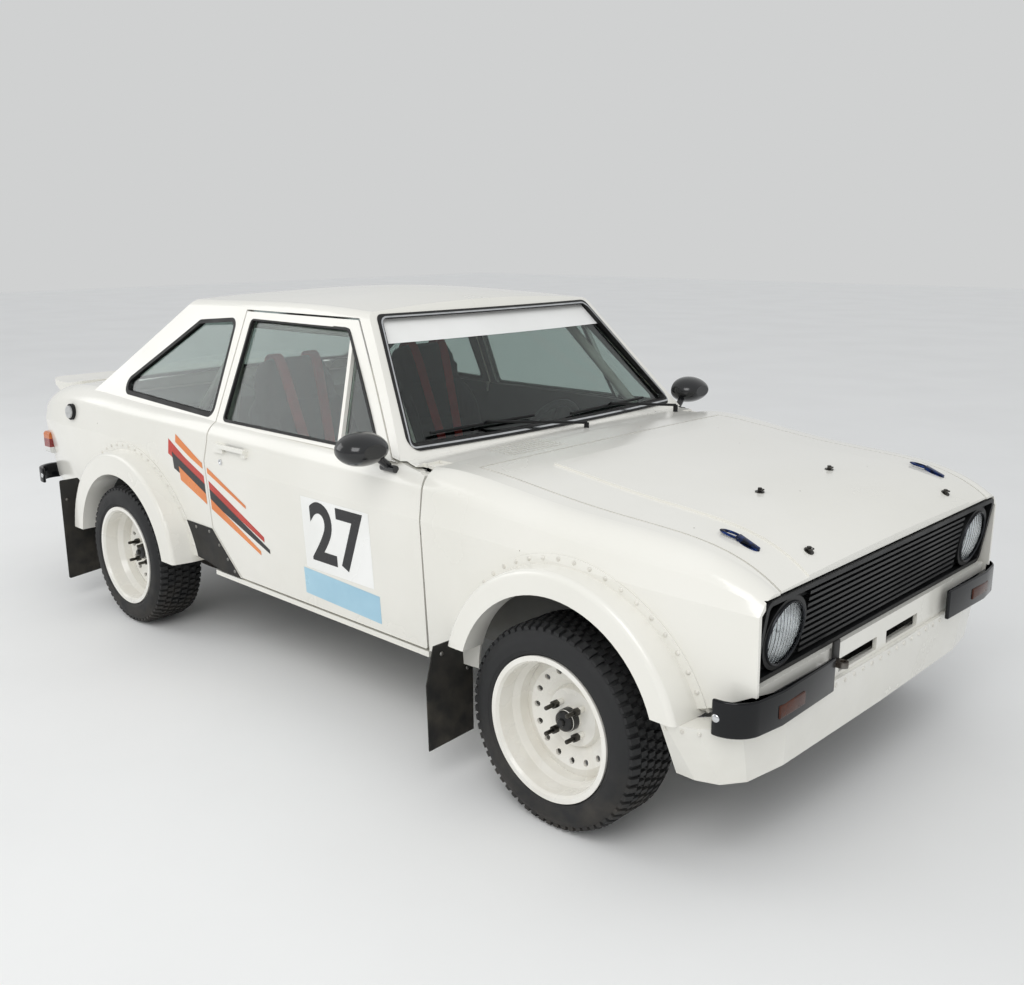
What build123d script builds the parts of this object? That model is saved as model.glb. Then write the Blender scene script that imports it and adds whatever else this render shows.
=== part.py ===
"""Two-door rally saloon: body panels, glazing, cabin fittings and running gear.

Millimetres. +X is forward, +Y is the car's left, +Z is up. The origin is on the
ground, midway between the foremost point (front bumpers) and the rearmost (boot spoiler).
"""
from build123d import *
import math
import os

os.makedirs("parts", exist_ok=True)

# Driving sizes.
WHEELBASE = 2407.0
FRONT_AXLE_X = 1403.5
REAR_AXLE_X = FRONT_AXLE_X - WHEELBASE
AXLE_Z = 297.0

TYRE_R = 297.0
TYRE_IN_Y = 628.0
TYRE_OUT_Y = 834.0
RIM_R = 190.5
FLANGE_R = 209.0
RIM_IN_Y = 639.0
RIM_OUT_Y = 831.0
DISC_Y = 722.0
STUD_CIRCLE_R = 54.0
HUB_FACE_Y = DISC_Y - 30.0

SHEET = 12.0
WALL = 42.0
GAP = 7.0
SEAM = 0.3
RUNNING = 0.06

BELT_Z = 932.0
ROOF_T = 26.0
GLASS_T = 5.0
GLASS_INSET = 14.0
SEAL_W = 16.0

DOOR_FRONT_X = 845.0
DOOR_REAR_X = -345.0
DOOR_REAR_LOW_X = -372.0
DOOR_CORNER_X = -200.0
DOOR_BOTTOM_Z = 358.0
DOOR_TOP_Z = 1338.0
DOOR_TAPER = 8.0
DOOR_INNER_Y = 700.0
HINGE_X = 838.0
HINGE_Y = 779.0
HINGE_Z = (735.0, 785.0)
HINGE_R = 3.0
HINGE_ARM_T = 3.0

BONNET_REAR_X = 968.0
BONNET_FRONT_X = 1983.0
LID_Y = 637.0
BOOT_FRONT_X = -1418.0
BOOT_LIP_Z = 745.0
TAIL_X = -1890.0
NOSE_X = 1985.0
LID_HINGE_Y = 200.0
BONNET_HINGE = (975.0, 934.0)
BOOT_HINGE = (-1425.0, 980.0)

SCREEN_FOOT = (755.0, 942.0)
SCREEN_HEAD = (378.0, 1372.0)
SCREEN_BOW_R = 7900.0
REAR_FOOT = (-1405.0, 978.0)
REAR_HEAD = (-838.0, 1338.0)
REAR_BOW_R = 6500.0

ARCH_R = 352.0
ARCH_FACE_Y = 850.0
SILL_Z = 331.0
JACK_X = 600.0
JACK_Z = 323.0
FLOOR_Z = 300.0
TUNNEL_Y = 120.0
TUNNEL_Z = 470.0

# Lower body half sections. Columns: station x, then (y, z) of the sill edge, lower side,
# crease, foot of the shoulder and head of the shoulder, then the height on the centre line.
TAIL_ROWS = [
    (TAIL_X, (600, 455), (700, 492), (735, 772), (722, 832), (662, 880), 896),
    (-1650, (660, 410), (742, 455), (770, 781), (757, 880), (690, 950), 966),
    (-1380, (700, 365), (762, 402), (782, 787), (770, 884), (704, 968), 990),
    (-950, (703, 340), (761, 368), (785, 788), (775, 876), (722, 952), 965),
    (DOOR_REAR_X - 5, (705, SILL_Z), (761, 356), (785, 786), (775, 868), (736, 938), 950),
]
DOOR_ROWS = [
    (DOOR_REAR_X - 5, (705, SILL_Z), (761, 356), (785, 786), (775, 868), (736, 938), 950),
    (DOOR_FRONT_X + 3, (705, SILL_Z), (761, 356), (785, 779), (774, 862), (714, 932), 944),
]
NOSE_ROWS = [
    (DOOR_FRONT_X + 3, (705, SILL_Z), (761, 356), (785, 779), (774, 862), (714, 932), 944),
    (1150, (704, 335), (763, 366), (785, 771), (773, 849), (704, 918), 932),
    (1450, (698, 348), (763, 392), (783, 762), (768, 826), (692, 886), 906),
    (1750, (676, 392), (753, 446), (769, 751), (753, 810), (676, 866), 882),
    (1895, (656, 440), (742, 490), (752, 746), (737, 790), (662, 830), 846),
    (NOSE_X, (640, 470), (728, 520), (736, 741), (722, 757), (648, 780), 790),
]

# Cabin half sections. Columns: station x, belt y, roof rail y and z, roof centre z.
CABIN_ROWS = [
    (-1440, 740, 556, 1322, 1356),
    (-850, 741, 566, 1342, 1374),
    (-480, 742, 572, 1350, 1404),
    (-100, 742, 575, 1356, 1416),
    (370, 742, 570, 1342, 1386),
    (790, 741, 560, 1298, 1338),
]
RAIL_ROUND = 40.0


# Shared forms.
def lower_section(row, inset, drop):
    """Sketch of one lower-body section, inset from the skin and dropped open below."""
    x, sill, side, crease, foot, head, top = row
    sill = (sill[0] - inset, sill[1] - drop)
    side = (side[0] - inset, side[1] - drop)
    crease = (crease[0] - inset, crease[1])
    foot = (foot[0] - inset, foot[1] - inset * 0.5)
    head = (head[0] - inset * 0.5, head[1] - inset)
    top = top - inset
    bulge = 0.16
    middle = (
        (foot[0] + head[0]) / 2 + bulge * (head[1] - foot[1]),
        (foot[1] + head[1]) / 2 + bulge * (foot[0] - head[0]),
    )
    with BuildSketch(Plane.YZ.offset(x)) as section:
        with BuildLine():
            Polyline(sill, side, crease, foot)
            ThreePointArc(foot, middle, head)
            ThreePointArc(head, (0, top), (-head[0], head[1]))
            ThreePointArc((-head[0], head[1]), (-middle[0], middle[1]), (-foot[0], foot[1]))
            Polyline((-foot[0], foot[1]), (-crease[0], crease[1]), (-side[0], side[1]),
                     (-sill[0], sill[1]), sill)
        make_face()
    return section.sketch


def lower_body(rows, inset=0.0, drop=0.0):
    """Solid lofted smoothly through the given lower-body rows."""
    with BuildPart() as solid:
        for row in rows:
            add(lower_section(row, inset, drop))
        loft()
    return solid.part


def cabin_body(inset=0.0, base=930.0):
    """Cabin above the belt, cut by the bowed windscreen and rear window surfaces."""
    with BuildPart() as solid:
        for x, belt_y, rail_y, rail_z, top in CABIN_ROWS:
            belt = (belt_y - inset, BELT_Z)
            lean = (belt_y - rail_y) / (rail_z - BELT_Z)
            foot = (belt[0] + lean * (BELT_Z - base), base)
            rail = (rail_y - inset, rail_z - inset * 0.5)
            shoulder = (rail[0] - RAIL_ROUND, rail[1] + RAIL_ROUND * 0.55)
            corner = (rail[0] - RAIL_ROUND * 0.36, rail[1] + RAIL_ROUND * 0.40)
            with BuildSketch(Plane.YZ.offset(x)):
                with BuildLine():
                    Line(foot, rail)
                    ThreePointArc(rail, corner, shoulder)
                    ThreePointArc(shoulder, (0, top - inset), (-shoulder[0], shoulder[1]))
                    ThreePointArc((-shoulder[0], shoulder[1]), (-corner[0], corner[1]),
                                  (-rail[0], rail[1]))
                    Polyline((-rail[0], rail[1]), (-foot[0], foot[1]), foot)
                make_face()
        loft()
        add(behind_screen(SCREEN_FOOT, SCREEN_HEAD, SCREEN_BOW_R, inset), mode=Mode.INTERSECT)
        add(behind_screen(REAR_FOOT, REAR_HEAD, REAR_BOW_R, inset), mode=Mode.INTERSECT)
    return solid.part


def screen_plane(foot, head):
    """Plane across a screen's slope: local x across the car, local y into the cabin."""
    slope = Vector(head[0] - foot[0], 0, head[1] - foot[1]).normalized()
    across = 1 if foot[0] > 0 else -1
    return Plane(origin=(foot[0], 0, foot[1]), x_dir=(0, across, 0), z_dir=slope)


def behind_screen(foot, head, bow_r, inset):
    """Everything behind the bowed surface of a screen, inset into the cabin."""
    half = 900.0
    sag = half * half / (2 * bow_r)
    with BuildPart() as solid:
        with BuildSketch(screen_plane(foot, head).offset(-500)):
            with BuildLine():
                ThreePointArc((-half, inset + sag), (0, inset), (half, inset + sag))
                Polyline((half, inset + sag), (half, 2500), (-half, 2500), (-half, inset + sag))
            make_face()
        extrude(amount=2700)
    return solid.part


def prism(plane, points, depth, round_r=0.0, margin=0.0, taper=0.0):
    """Prism of a closed outline, with rounded corners, then grown by margin."""
    with BuildPart() as solid:
        with BuildSketch(plane) as outline:
            with BuildLine():
                Polyline(*points, close=True)
            make_face()
            if round_r:
                fillet(outline.vertices(), round_r)
            if margin:
                offset(amount=margin)
        extrude(amount=depth, taper=taper)
    return solid.part


def across(points, y_low, y_high, round_r=0.0, margin=0.0):
    """Prism of a side-view outline between two widths."""
    return prism(Plane.XZ.offset(-y_high), points, y_high - y_low, round_r, margin)


def along(points, x_low, x_high, round_r=0.0, margin=0.0):
    """Prism of a front-view outline between two stations."""
    return prism(Plane.YZ.offset(x_low), points, x_high - x_low, round_r, margin)


def upward(points, z_low, z_high, round_r=0.0):
    """Prism of a plan outline between two heights."""
    return prism(Plane.XY.offset(z_low), points, z_high - z_low, round_r)


def block(x0, x1, y0, y1, z0, z1):
    """Plain block between two corners."""
    return upward([(x0, y0), (x1, y0), (x1, y1), (x0, y1)], z0, z1)


def bar(start, end, radius):
    """Round bar from start to end."""
    start = Vector(*start)
    end = Vector(*end)
    with BuildPart() as solid:
        with BuildSketch(Plane(origin=start, z_dir=end - start)):
            Circle(radius)
        extrude(amount=(end - start).length)
    return solid.part


def tube_run(points, radius):
    """Bent tube: bars joined by rounded corners."""
    with BuildPart() as solid:
        for start, end in zip(points, points[1:]):
            add(bar(start, end, radius))
        with Locations(*points[1:-1]):
            Sphere(radius + 0.5)
    return solid.part


def mirrored(piece):
    """The left-hand twin of a right-hand piece."""
    return mirror(piece, about=Plane.XZ)


def largest(piece):
    """The main solid of a cut, without loose offcuts."""
    return max(piece.solids(), key=lambda solid: solid.volume)


def save(piece, name):
    """Label a finished piece and write it."""
    piece.label = name
    export_step(piece, f"parts/{name}.step")


def save_pair(piece, name):
    """Write a right-hand piece and its left-hand twin as two nodes."""
    save(piece, f"{name}_right")
    save(mirrored(piece), f"{name}_left")


def save_group(pieces, name):
    """Write like pieces as one node."""
    save(Compound(children=list(pieces)), name)


TAIL_BODY = lower_body(TAIL_ROWS)
DOOR_BODY = lower_body(DOOR_ROWS)
NOSE_BODY = lower_body(NOSE_ROWS)
TAIL_INNER = lower_body(TAIL_ROWS, WALL, 160)
NOSE_INNER = lower_body(NOSE_ROWS, SHEET, 160)
SKIN_T = 3.0
TAIL_SKIN = lower_body(TAIL_ROWS, -SKIN_T)
NOSE_SKIN = lower_body(NOSE_ROWS, -SKIN_T)
DOOR_SKIN = lower_body(DOOR_ROWS, -SKIN_T)
TAIL_CLEAR = lower_body(TAIL_ROWS, -SEAM)
NOSE_CLEAR = lower_body(NOSE_ROWS, -SEAM)
DOOR_CLEAR = lower_body(DOOR_ROWS, -SEAM)

# Openings. Side view (x, z); the screens are seen from the front (y, z). The door outline
# lies in the plane y = 800 and tapers inward, so it is drawn larger toward the roof.
DOOR_OUTLINE = [
    (DOOR_FRONT_X + 3, DOOR_BOTTOM_Z - 5), (DOOR_FRONT_X + 3, 920), (680, 937),
    (338, DOOR_TOP_Z + 30), (DOOR_REAR_X - 26, DOOR_TOP_Z + 30), (DOOR_REAR_X - 8, 930),
    (DOOR_REAR_LOW_X - 3, 790), (DOOR_REAR_LOW_X - 3, 525), (DOOR_CORNER_X - 3, DOOR_BOTTOM_Z - 5),
]
DOOR_WINDOW = [(618, 941), (290, 1309), (-302, 1313), (-306, 941)]
DOOR_DIVIDER = [(396, 930), (412, 930), (313, 1316), (297, 1316)]
QUARTER_WINDOW = [(-376, 944), (-392, 1313), (-660, 1292), (-1196, 972)]
SCREEN_HOLE = [(-694, 955), (694, 955), (536, 1356), (-536, 1356)]
REAR_HOLE = [(-642, 990), (642, 990), (556, 1318), (-556, 1318)]

CABIN_OUTER = cabin_body()
CABIN_INNER = cabin_body(ROOF_T, 880)
with BuildPart() as cabin_shell:
    add(CABIN_OUTER)
    add(CABIN_INNER, mode=Mode.SUBTRACT)
    add(along(SCREEN_HOLE, 300, 900, 30), mode=Mode.SUBTRACT)
    add(along(REAR_HOLE, -1500, -700, 45), mode=Mode.SUBTRACT)
CABIN_SHELL = cabin_shell.part


def door_prism(margin=0.0):
    """Outline of the right door, tapering inward so that its edges clear as it swings."""
    return prism(Plane.XZ.offset(800), DOOR_OUTLINE, -330, 6, margin, DOOR_TAPER)


# Doors.
HANDLE_X = (-300.0, -88.0)
HANDLE_Z = 852.0
with BuildPart() as door:
    add(DOOR_BODY)
    add(TAIL_BODY & block(-390, DOOR_REAR_X - 5, -900, -600, 320, 940))
    add(block(-500, 960, -900, -DOOR_INNER_Y, 300, BELT_Z + 6), mode=Mode.INTERSECT)
    add(CABIN_SHELL & block(-900, 900, -900, -480, BELT_Z - 2, 1400))
    add(door_prism(), mode=Mode.INTERSECT)
    add(across(DOOR_WINDOW, -900, -300, 22), mode=Mode.SUBTRACT)
    add(CABIN_SHELL & across(DOOR_DIVIDER, -900, -480))
    add(bar((HINGE_X, -HINGE_Y, HINGE_Z[0] - 11), (HINGE_X, -HINGE_Y, HINGE_Z[1] + 11),
            HINGE_R + RUNNING), mode=Mode.SUBTRACT)
    add(block(HINGE_X - 6, 860, -HINGE_Y - 0.5, -748, HINGE_Z[0] - 2, HINGE_Z[1] + 2),
        mode=Mode.SUBTRACT)
    add(along([(-790, HANDLE_Z - 17), (-790, HANDLE_Z + 17), (-773, HANDLE_Z + 15),
               (-773, HANDLE_Z - 15)], HANDLE_X[0], HANDLE_X[0] + 64))
    add(along([(-797, HANDLE_Z + 2), (-797, HANDLE_Z + 14), (-785, HANDLE_Z + 16),
               (-785, HANDLE_Z - 2)], HANDLE_X[0] + 40, HANDLE_X[1]))
    add(block(HANDLE_X[1] - 26, HANDLE_X[1], -790, -773, HANDLE_Z - 14, HANDLE_Z + 14))
door_part = largest(door.part)
save_pair(door_part, "door")

with BuildPart() as side_glass:
    for x, belt_y, rail_y, rail_z, top in CABIN_ROWS[1:-1]:
        outer = (-belt_y + GLASS_INSET, BELT_Z - 4)
        upper = (-rail_y + GLASS_INSET, rail_z - 8)
        with BuildSketch(Plane.YZ.offset(x * 1.7)):
            with BuildLine():
                Polyline(outer, upper, (upper[0] + GLASS_T, upper[1]),
                         (outer[0] + GLASS_T, outer[1]), close=True)
            make_face()
    loft(ruled=True)
SIDE_GLASS = side_glass.part
door_pane = (SIDE_GLASS & across(DOOR_WINDOW, -900, -300, 22)) - across(
    DOOR_DIVIDER, -900, -300, 0, SEAM)
save_pair(Compound(children=door_pane.solids()), "door_glass")

MIRROR_X = 690.0
MIRROR_Y = 858.0
MIRROR_Z = 985.0
with BuildPart() as door_mirror:
    for depth, width, height in ((-52, 150, 92), (-10, 168, 104), (30, 140, 80), (52, 84, 44)):
        with BuildSketch(Plane.YZ.offset(MIRROR_X + depth)):
            with Locations((-MIRROR_Y, MIRROR_Z)):
                Ellipse(width / 2, height / 2)
    loft()
    add(bar((MIRROR_X - 10, -806, MIRROR_Z - 28), (MIRROR_X - 6, -764, 920), 13))
    add(bar((MIRROR_X - 34, -764, 914), (MIRROR_X + 30, -764, 914), 12))
    add(door_part, mode=Mode.SUBTRACT)
save_pair(largest(door_mirror.part), "mirror")

# Body sides and roof.
ROOF_EDGE_Y = 545.0
SILL_OUTLINE = [(-758, SILL_Z), (-640, SILL_Z), (-640, 400), (-690, 400), (-690, 349),
                (-758, 349)]
with BuildPart() as body_side:
    add(TAIL_BODY)
    add(block(TAIL_X, DOOR_REAR_X - 5, -900, -ROOF_EDGE_Y, 300, 1100), mode=Mode.INTERSECT)
    add(TAIL_INNER, mode=Mode.SUBTRACT)
    add(block(TAIL_X - 5, BOOT_FRONT_X + 4, -LID_Y - GAP, 0, BOOT_LIP_Z, 1100), mode=Mode.SUBTRACT)
    add(block(-1380, -300, -694, 0, 870, 1000), mode=Mode.SUBTRACT)
    add(along(SILL_OUTLINE, DOOR_REAR_LOW_X - 20, DOOR_FRONT_X))
    add(DOOR_BODY & block(DOOR_REAR_X - 6, DOOR_CORNER_X + 40, -900, -690, 300, 540))
    add(DOOR_BODY & (block(-352, 780, -752, -690, 905, 1000)
                     + block(730, 789.7, -700, -ROOF_EDGE_Y, 905, 1000)))
    add(block(775, DOOR_FRONT_X + 3, -693, -646, SILL_Z, 925))
    add(block(740, 780, -693, -660, 800, 925))
    add(CABIN_SHELL & block(-1460, 800, -900, -ROOF_EDGE_Y, 905, 1420))
    add(door_prism(GAP), mode=Mode.SUBTRACT)
    add(across(QUARTER_WINDOW, -900, -300, 40), mode=Mode.SUBTRACT)
    add(block(JACK_X - 40, JACK_X + 40, -740, -680, JACK_Z, SILL_Z))
    add(bar((REAR_AXLE_X + 6, -900, AXLE_Z), (REAR_AXLE_X + 6, -600, AXLE_Z), ARCH_R),
        mode=Mode.SUBTRACT)
body_side_part = largest(body_side.part)
save_group((body_side_part, mirrored(body_side_part)), "body_sides")

with BuildPart() as roof:
    add(CABIN_SHELL)
    add(block(-1000, 600, -ROOF_EDGE_Y + SEAM, ROOF_EDGE_Y - SEAM, 1290, 1500),
        mode=Mode.INTERSECT)
save(largest(roof.part), "roof_panel")

# Windows.
def ring_glass(hole, round_r, foot, head, bow_r, x_low, x_high):
    """Bowed pane that fills a screen opening inside its seal."""
    with BuildPart() as pane:
        add(along(hole, x_low, x_high, round_r, -SEAL_W))
        add(behind_screen(foot, head, bow_r, GLASS_INSET), mode=Mode.INTERSECT)
        add(behind_screen(foot, head, bow_r, GLASS_INSET + GLASS_T), mode=Mode.SUBTRACT)
    return largest(pane.part)


def ring_seal(hole, round_r, foot, head, bow_r, x_low, x_high):
    """Rubber frame between a screen opening and its pane."""
    with BuildPart() as seal:
        add(along(hole, x_low, x_high, round_r))
        add(along(hole, x_low, x_high, round_r, -SEAL_W), mode=Mode.SUBTRACT)
        add(behind_screen(foot, head, bow_r, -4), mode=Mode.INTERSECT)
        add(behind_screen(foot, head, bow_r, ROOF_T - 4), mode=Mode.SUBTRACT)
    return largest(seal.part)


SCREEN = (SCREEN_HOLE, 30, SCREEN_FOOT, SCREEN_HEAD, SCREEN_BOW_R, 300, 900)
REAR_SCREEN = (REAR_HOLE, 45, REAR_FOOT, REAR_HEAD, REAR_BOW_R, -1500, -700)
with BuildPart() as quarter_seal:
    add(CABIN_OUTER)
    add(CABIN_INNER, mode=Mode.SUBTRACT)
    add(across(QUARTER_WINDOW, -900, -300, 40), mode=Mode.INTERSECT)
    add(across(QUARTER_WINDOW, -900, -300, 40, -SEAL_W), mode=Mode.SUBTRACT)
quarter_seal_part = largest(quarter_seal.part)
quarter_glass = SIDE_GLASS & across(QUARTER_WINDOW, -900, -300, 40, -SEAL_W)
save_group((ring_seal(*SCREEN), ring_seal(*REAR_SCREEN),
            quarter_seal_part, mirrored(quarter_seal_part)), "window_seals")
save_group((ring_glass(*SCREEN), ring_glass(*REAR_SCREEN),
            quarter_glass, mirrored(quarter_glass)), "body_glass")

# Nose.
WING_REAR_X = DOOR_FRONT_X + GAP
FRONT_ARCH = (1430.0, 335.0)
REAR_ARCH = (REAR_AXLE_X + 6, AXLE_Z)
with BuildPart() as wing:
    add(NOSE_BODY)
    add(block(WING_REAR_X, NOSE_X, -900, -LID_Y - GAP, 300, 1000), mode=Mode.INTERSECT)
    add(NOSE_INNER, mode=Mode.SUBTRACT)
    add(block(1940, 2000, -708, 0, 300, 775), mode=Mode.SUBTRACT)
    add(bar((FRONT_ARCH[0], -900, FRONT_ARCH[1]), (FRONT_ARCH[0], 0, FRONT_ARCH[1]), ARCH_R + 8),
        mode=Mode.SUBTRACT)
with BuildPart() as hinged_wing:
    add(largest(wing.part))
    add(bar((HINGE_X, -HINGE_Y, HINGE_Z[0] - 10), (HINGE_X, -HINGE_Y, HINGE_Z[1] + 10), HINGE_R))
    add(block(HINGE_X - HINGE_ARM_T / 2, HINGE_X + HINGE_ARM_T / 2, -HINGE_Y, -757, *HINGE_Z))
    add(block(HINGE_X - 3, 872, -765, -757, *HINGE_Z))
    add(block(862, 872, -777, -757, *HINGE_Z))
wing_part = largest(hinged_wing.part)
save_group((wing_part, mirrored(wing_part)), "front_wings")

# The bonnet skin with its raised middle, folded edges and hinge eyes.
SWAGE_Y = 505.0
SWAGE_H = 6.0
BONNET_T = 20.0
LID_SKIN = 7.0
LID_RIM = 46.0


def lid_hinge_notch(hinge, forward):
    """Cut the eyes and pockets of a lid's two hidden hinges, in the running part."""
    x, z = hinge
    for side in (-LID_HINGE_Y, LID_HINGE_Y):
        add(bar((x, side - 26, z), (x, side + 26, z), HINGE_R + RUNNING), mode=Mode.SUBTRACT)
        add(block(*sorted((x - forward * 9, x + forward * 6)), side - 16, side + 16, z - 40, z + 0.5),
            mode=Mode.SUBTRACT)


def lid_hinge_arm(hinge, forward, foot_z):
    """Add the two pins of a lid and the bent arms that carry them, in the running part."""
    x, z = hinge
    back = x - forward * 25
    for side in (-LID_HINGE_Y, LID_HINGE_Y):
        add(bar((x, side - 25, z), (x, side + 25, z), HINGE_R))
        add(block(x - HINGE_ARM_T / 2, x + HINGE_ARM_T / 2, side - 14, side + 14, z - 35, z))
        add(block(*sorted((x + forward * 3, back)), side - 14, side + 14, z - 35, z - 29))
        add(block(*sorted((back, back + forward * 8)), side - 14, side + 14, z - 35, foot_z))


with BuildPart() as bonnet:
    add(NOSE_BODY)
    add(lower_body(NOSE_ROWS, -SWAGE_H) & upward(
        [(BONNET_REAR_X + 120, -SWAGE_Y + 60), (NOSE_X, -SWAGE_Y), (NOSE_X, SWAGE_Y),
         (BONNET_REAR_X + 120, SWAGE_Y - 60)], 700, 1000))
    add(block(BONNET_REAR_X, BONNET_FRONT_X, -LID_Y, LID_Y, 776, 1000), mode=Mode.INTERSECT)
    add(lower_body(NOSE_ROWS, BONNET_T, 200), mode=Mode.SUBTRACT)
    add(lower_body(NOSE_ROWS, LID_SKIN, 200) & block(
        BONNET_REAR_X + LID_RIM, BONNET_FRONT_X - LID_RIM, -LID_Y + LID_RIM, LID_Y - LID_RIM,
        300, 1000), mode=Mode.SUBTRACT)
    lid_hinge_notch(BONNET_HINGE, 1)
bonnet_part = largest(bonnet.part)
save(bonnet_part, "bonnet")

SCUTTLE_FRONT_X = BONNET_REAR_X - GAP
with BuildPart() as scuttle:
    add(DOOR_BODY & block(742, DOOR_FRONT_X + 3, -645, 645, SILL_Z, 1000))
    add(NOSE_BODY & block(DOOR_FRONT_X + 3, SCUTTLE_FRONT_X, -LID_Y - GAP + SEAM,
                          LID_Y + GAP - SEAM, SILL_Z, 1000))
    add(block(756, SCUTTLE_FRONT_X + 1, -700, 700, 300, 916), mode=Mode.SUBTRACT)
    add(block(740, 756, -TUNNEL_Y + 15, TUNNEL_Y - 15, 300, TUNNEL_Z - 14), mode=Mode.SUBTRACT)
    for side in (-1, 1):
        add(block(740, 790, *sorted((side * (ROOF_EDGE_Y - SEAM), side * 646)), 904.7, 1000),
            mode=Mode.SUBTRACT)
        add(block(740, 757, *sorted((side * (640 - SEAM), side * 646)), 300, 400 + SEAM),
            mode=Mode.SUBTRACT)
    add(CABIN_SHELL & block(560, 790, -ROOF_EDGE_Y + SEAM, ROOF_EDGE_Y - SEAM, 928, 985))
    lid_hinge_arm(BONNET_HINGE, 1, 917)
    with BuildSketch(Plane.XY.offset(900)):
        with GridLocations(20, 250, 7, 1):
            with Locations((860, -330)):
                Rectangle(7, 250)
    extrude(amount=100, mode=Mode.SUBTRACT)
save(largest(scuttle.part), "scuttle")

# Grille set in a plane that leans forward at the top.
GRILLE_LOW = (1954.0, 548.0)
GRILLE_TOP = (1988.0, 771.0)
GRILLE_Y = 706.0
GRILLE_H = math.dist(GRILLE_LOW, GRILLE_TOP)
GRILLE_PLANE = Plane(
    origin=(GRILLE_LOW[0], 0, GRILLE_LOW[1]), x_dir=(0, 1, 0),
    z_dir=(GRILLE_TOP[1] - GRILLE_LOW[1], 0, GRILLE_LOW[0] - GRILLE_TOP[0]),
)
LAMP_Y = 587.0
LAMP_R = 87.0
SLAT_COUNT = 10
SLAT_H = 9.0
LAMP_UP = GRILLE_H / 2
with BuildPart() as grille:
    with BuildSketch(GRILLE_PLANE.offset(-22)):
        with Locations((0, GRILLE_H / 2)):
            RectangleRounded(2 * GRILLE_Y, GRILLE_H, 26)
            RectangleRounded(2 * GRILLE_Y - 28, GRILLE_H - 28, 14, mode=Mode.SUBTRACT)
    extrude(amount=24)
    with BuildSketch(GRILLE_PLANE.offset(-22)):
        with Locations((0, GRILLE_H / 2)):
            Rectangle(2 * GRILLE_Y - 20, GRILLE_H - 20)
        with Locations((-LAMP_Y, LAMP_UP), (LAMP_Y, LAMP_UP)):
            Circle(LAMP_R, mode=Mode.SUBTRACT)
    extrude(amount=4)
    pitch = (GRILLE_H - 28) / (SLAT_COUNT + 1)
    with BuildSketch(GRILLE_PLANE.offset(-20)):
        with Locations(*[(0, 14 + pitch * (row + 1)) for row in range(SLAT_COUNT)]):
            Rectangle(2 * (LAMP_Y - LAMP_R - 14), SLAT_H)
    extrude(amount=17)
    with BuildSketch(GRILLE_PLANE.offset(-20)):
        with Locations((-LAMP_Y, LAMP_UP), (LAMP_Y, LAMP_UP)):
            Circle(LAMP_R + 12)
            Circle(LAMP_R, mode=Mode.SUBTRACT)
    extrude(amount=20)
save(grille.part, "grille")

lamp_plane = Plane(origin=GRILLE_PLANE.from_local_coords((-LAMP_Y, LAMP_UP, 0)),
                   x_dir=GRILLE_PLANE.x_dir, z_dir=GRILLE_PLANE.z_dir)
# Headlamp sections. Columns: distance ahead of the grille plane, radius.
LAMP_ROWS = [(-70, 44), (-14, LAMP_R - SEAM), (-2, LAMP_R - SEAM), (6, 62), (10, 24)]
with BuildPart() as headlamp:
    for ahead, radius in LAMP_ROWS:
        with BuildSketch(lamp_plane.offset(ahead)):
            Circle(radius)
    loft(ruled=True)
save_group((headlamp.part, mirrored(headlamp.part)), "front_lamps")

# Lower front: panel with two cooling slots, then the spoiler below its ridge.
PANEL_X = 1970.0
PANEL_T = 12.0
RIDGE_Z = 452.0
LIP_Z = 283.0
with BuildPart() as front_panel:
    add(block(PANEL_X - PANEL_T, PANEL_X, -706, 706, RIDGE_Z, 546.5))
    add(block(1935, PANEL_X - 1, -706, 706, 534, 546.5))
    for y0, y1 in ((-285, -60), (0, 208)):
        add(block(1900, 2000, y0, y1, 462, 500), mode=Mode.SUBTRACT)
save(front_panel.part, "front_panel")

SPOILER_REAR_X = 1786.0
SPOILER_LEDGE = 46.0
SPOILER_TOP = [(1800, -842), (1880, -812), (1950, -730), (1978, -560), (1984, 0)]
SPOILER_LOW = [(1842, -762), (1900, -740), (1942, -680), (1962, -540), (1968, 0)]


def spoiler_section(points, z, inset, back):
    """Plan outline of the spoiler at height z, inset from its skin and reaching to x = back."""
    half = [(x - inset, y + inset) for x, y in points[:-1]] + [(points[-1][0] - inset, 0)]
    outline = [(back, half[0][1])] + half + [(x, -y) for x, y in reversed(half[:-1])]
    with BuildSketch(Plane.XY.offset(z)) as section:
        with BuildLine():
            Polyline(*outline, (back, -half[0][1]), close=True)
        make_face()
    return section.sketch


with BuildPart() as spoiler:
    add(spoiler_section(SPOILER_TOP, RIDGE_Z - SEAM, 0, SPOILER_REAR_X))
    add(spoiler_section(SPOILER_LOW, LIP_Z, 0, SPOILER_REAR_X))
    loft(ruled=True)
with BuildPart() as spoiler_inner:
    add(spoiler_section(SPOILER_TOP, RIDGE_Z - 8, 9, SPOILER_REAR_X - 60))
    add(spoiler_section(SPOILER_LOW, LIP_Z - 1, 9, SPOILER_REAR_X - 60))
    loft(ruled=True)
with BuildPart() as spoiler_middle:
    add(spoiler_section(SPOILER_TOP, RIDGE_Z - 30, SPOILER_LEDGE, SPOILER_REAR_X - 60))
    extrude(amount=40)
spoiler_skin = spoiler.part - spoiler_inner.part - spoiler_middle.part
spoiler_skin = spoiler_skin - wing_part - mirrored(wing_part)

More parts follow.
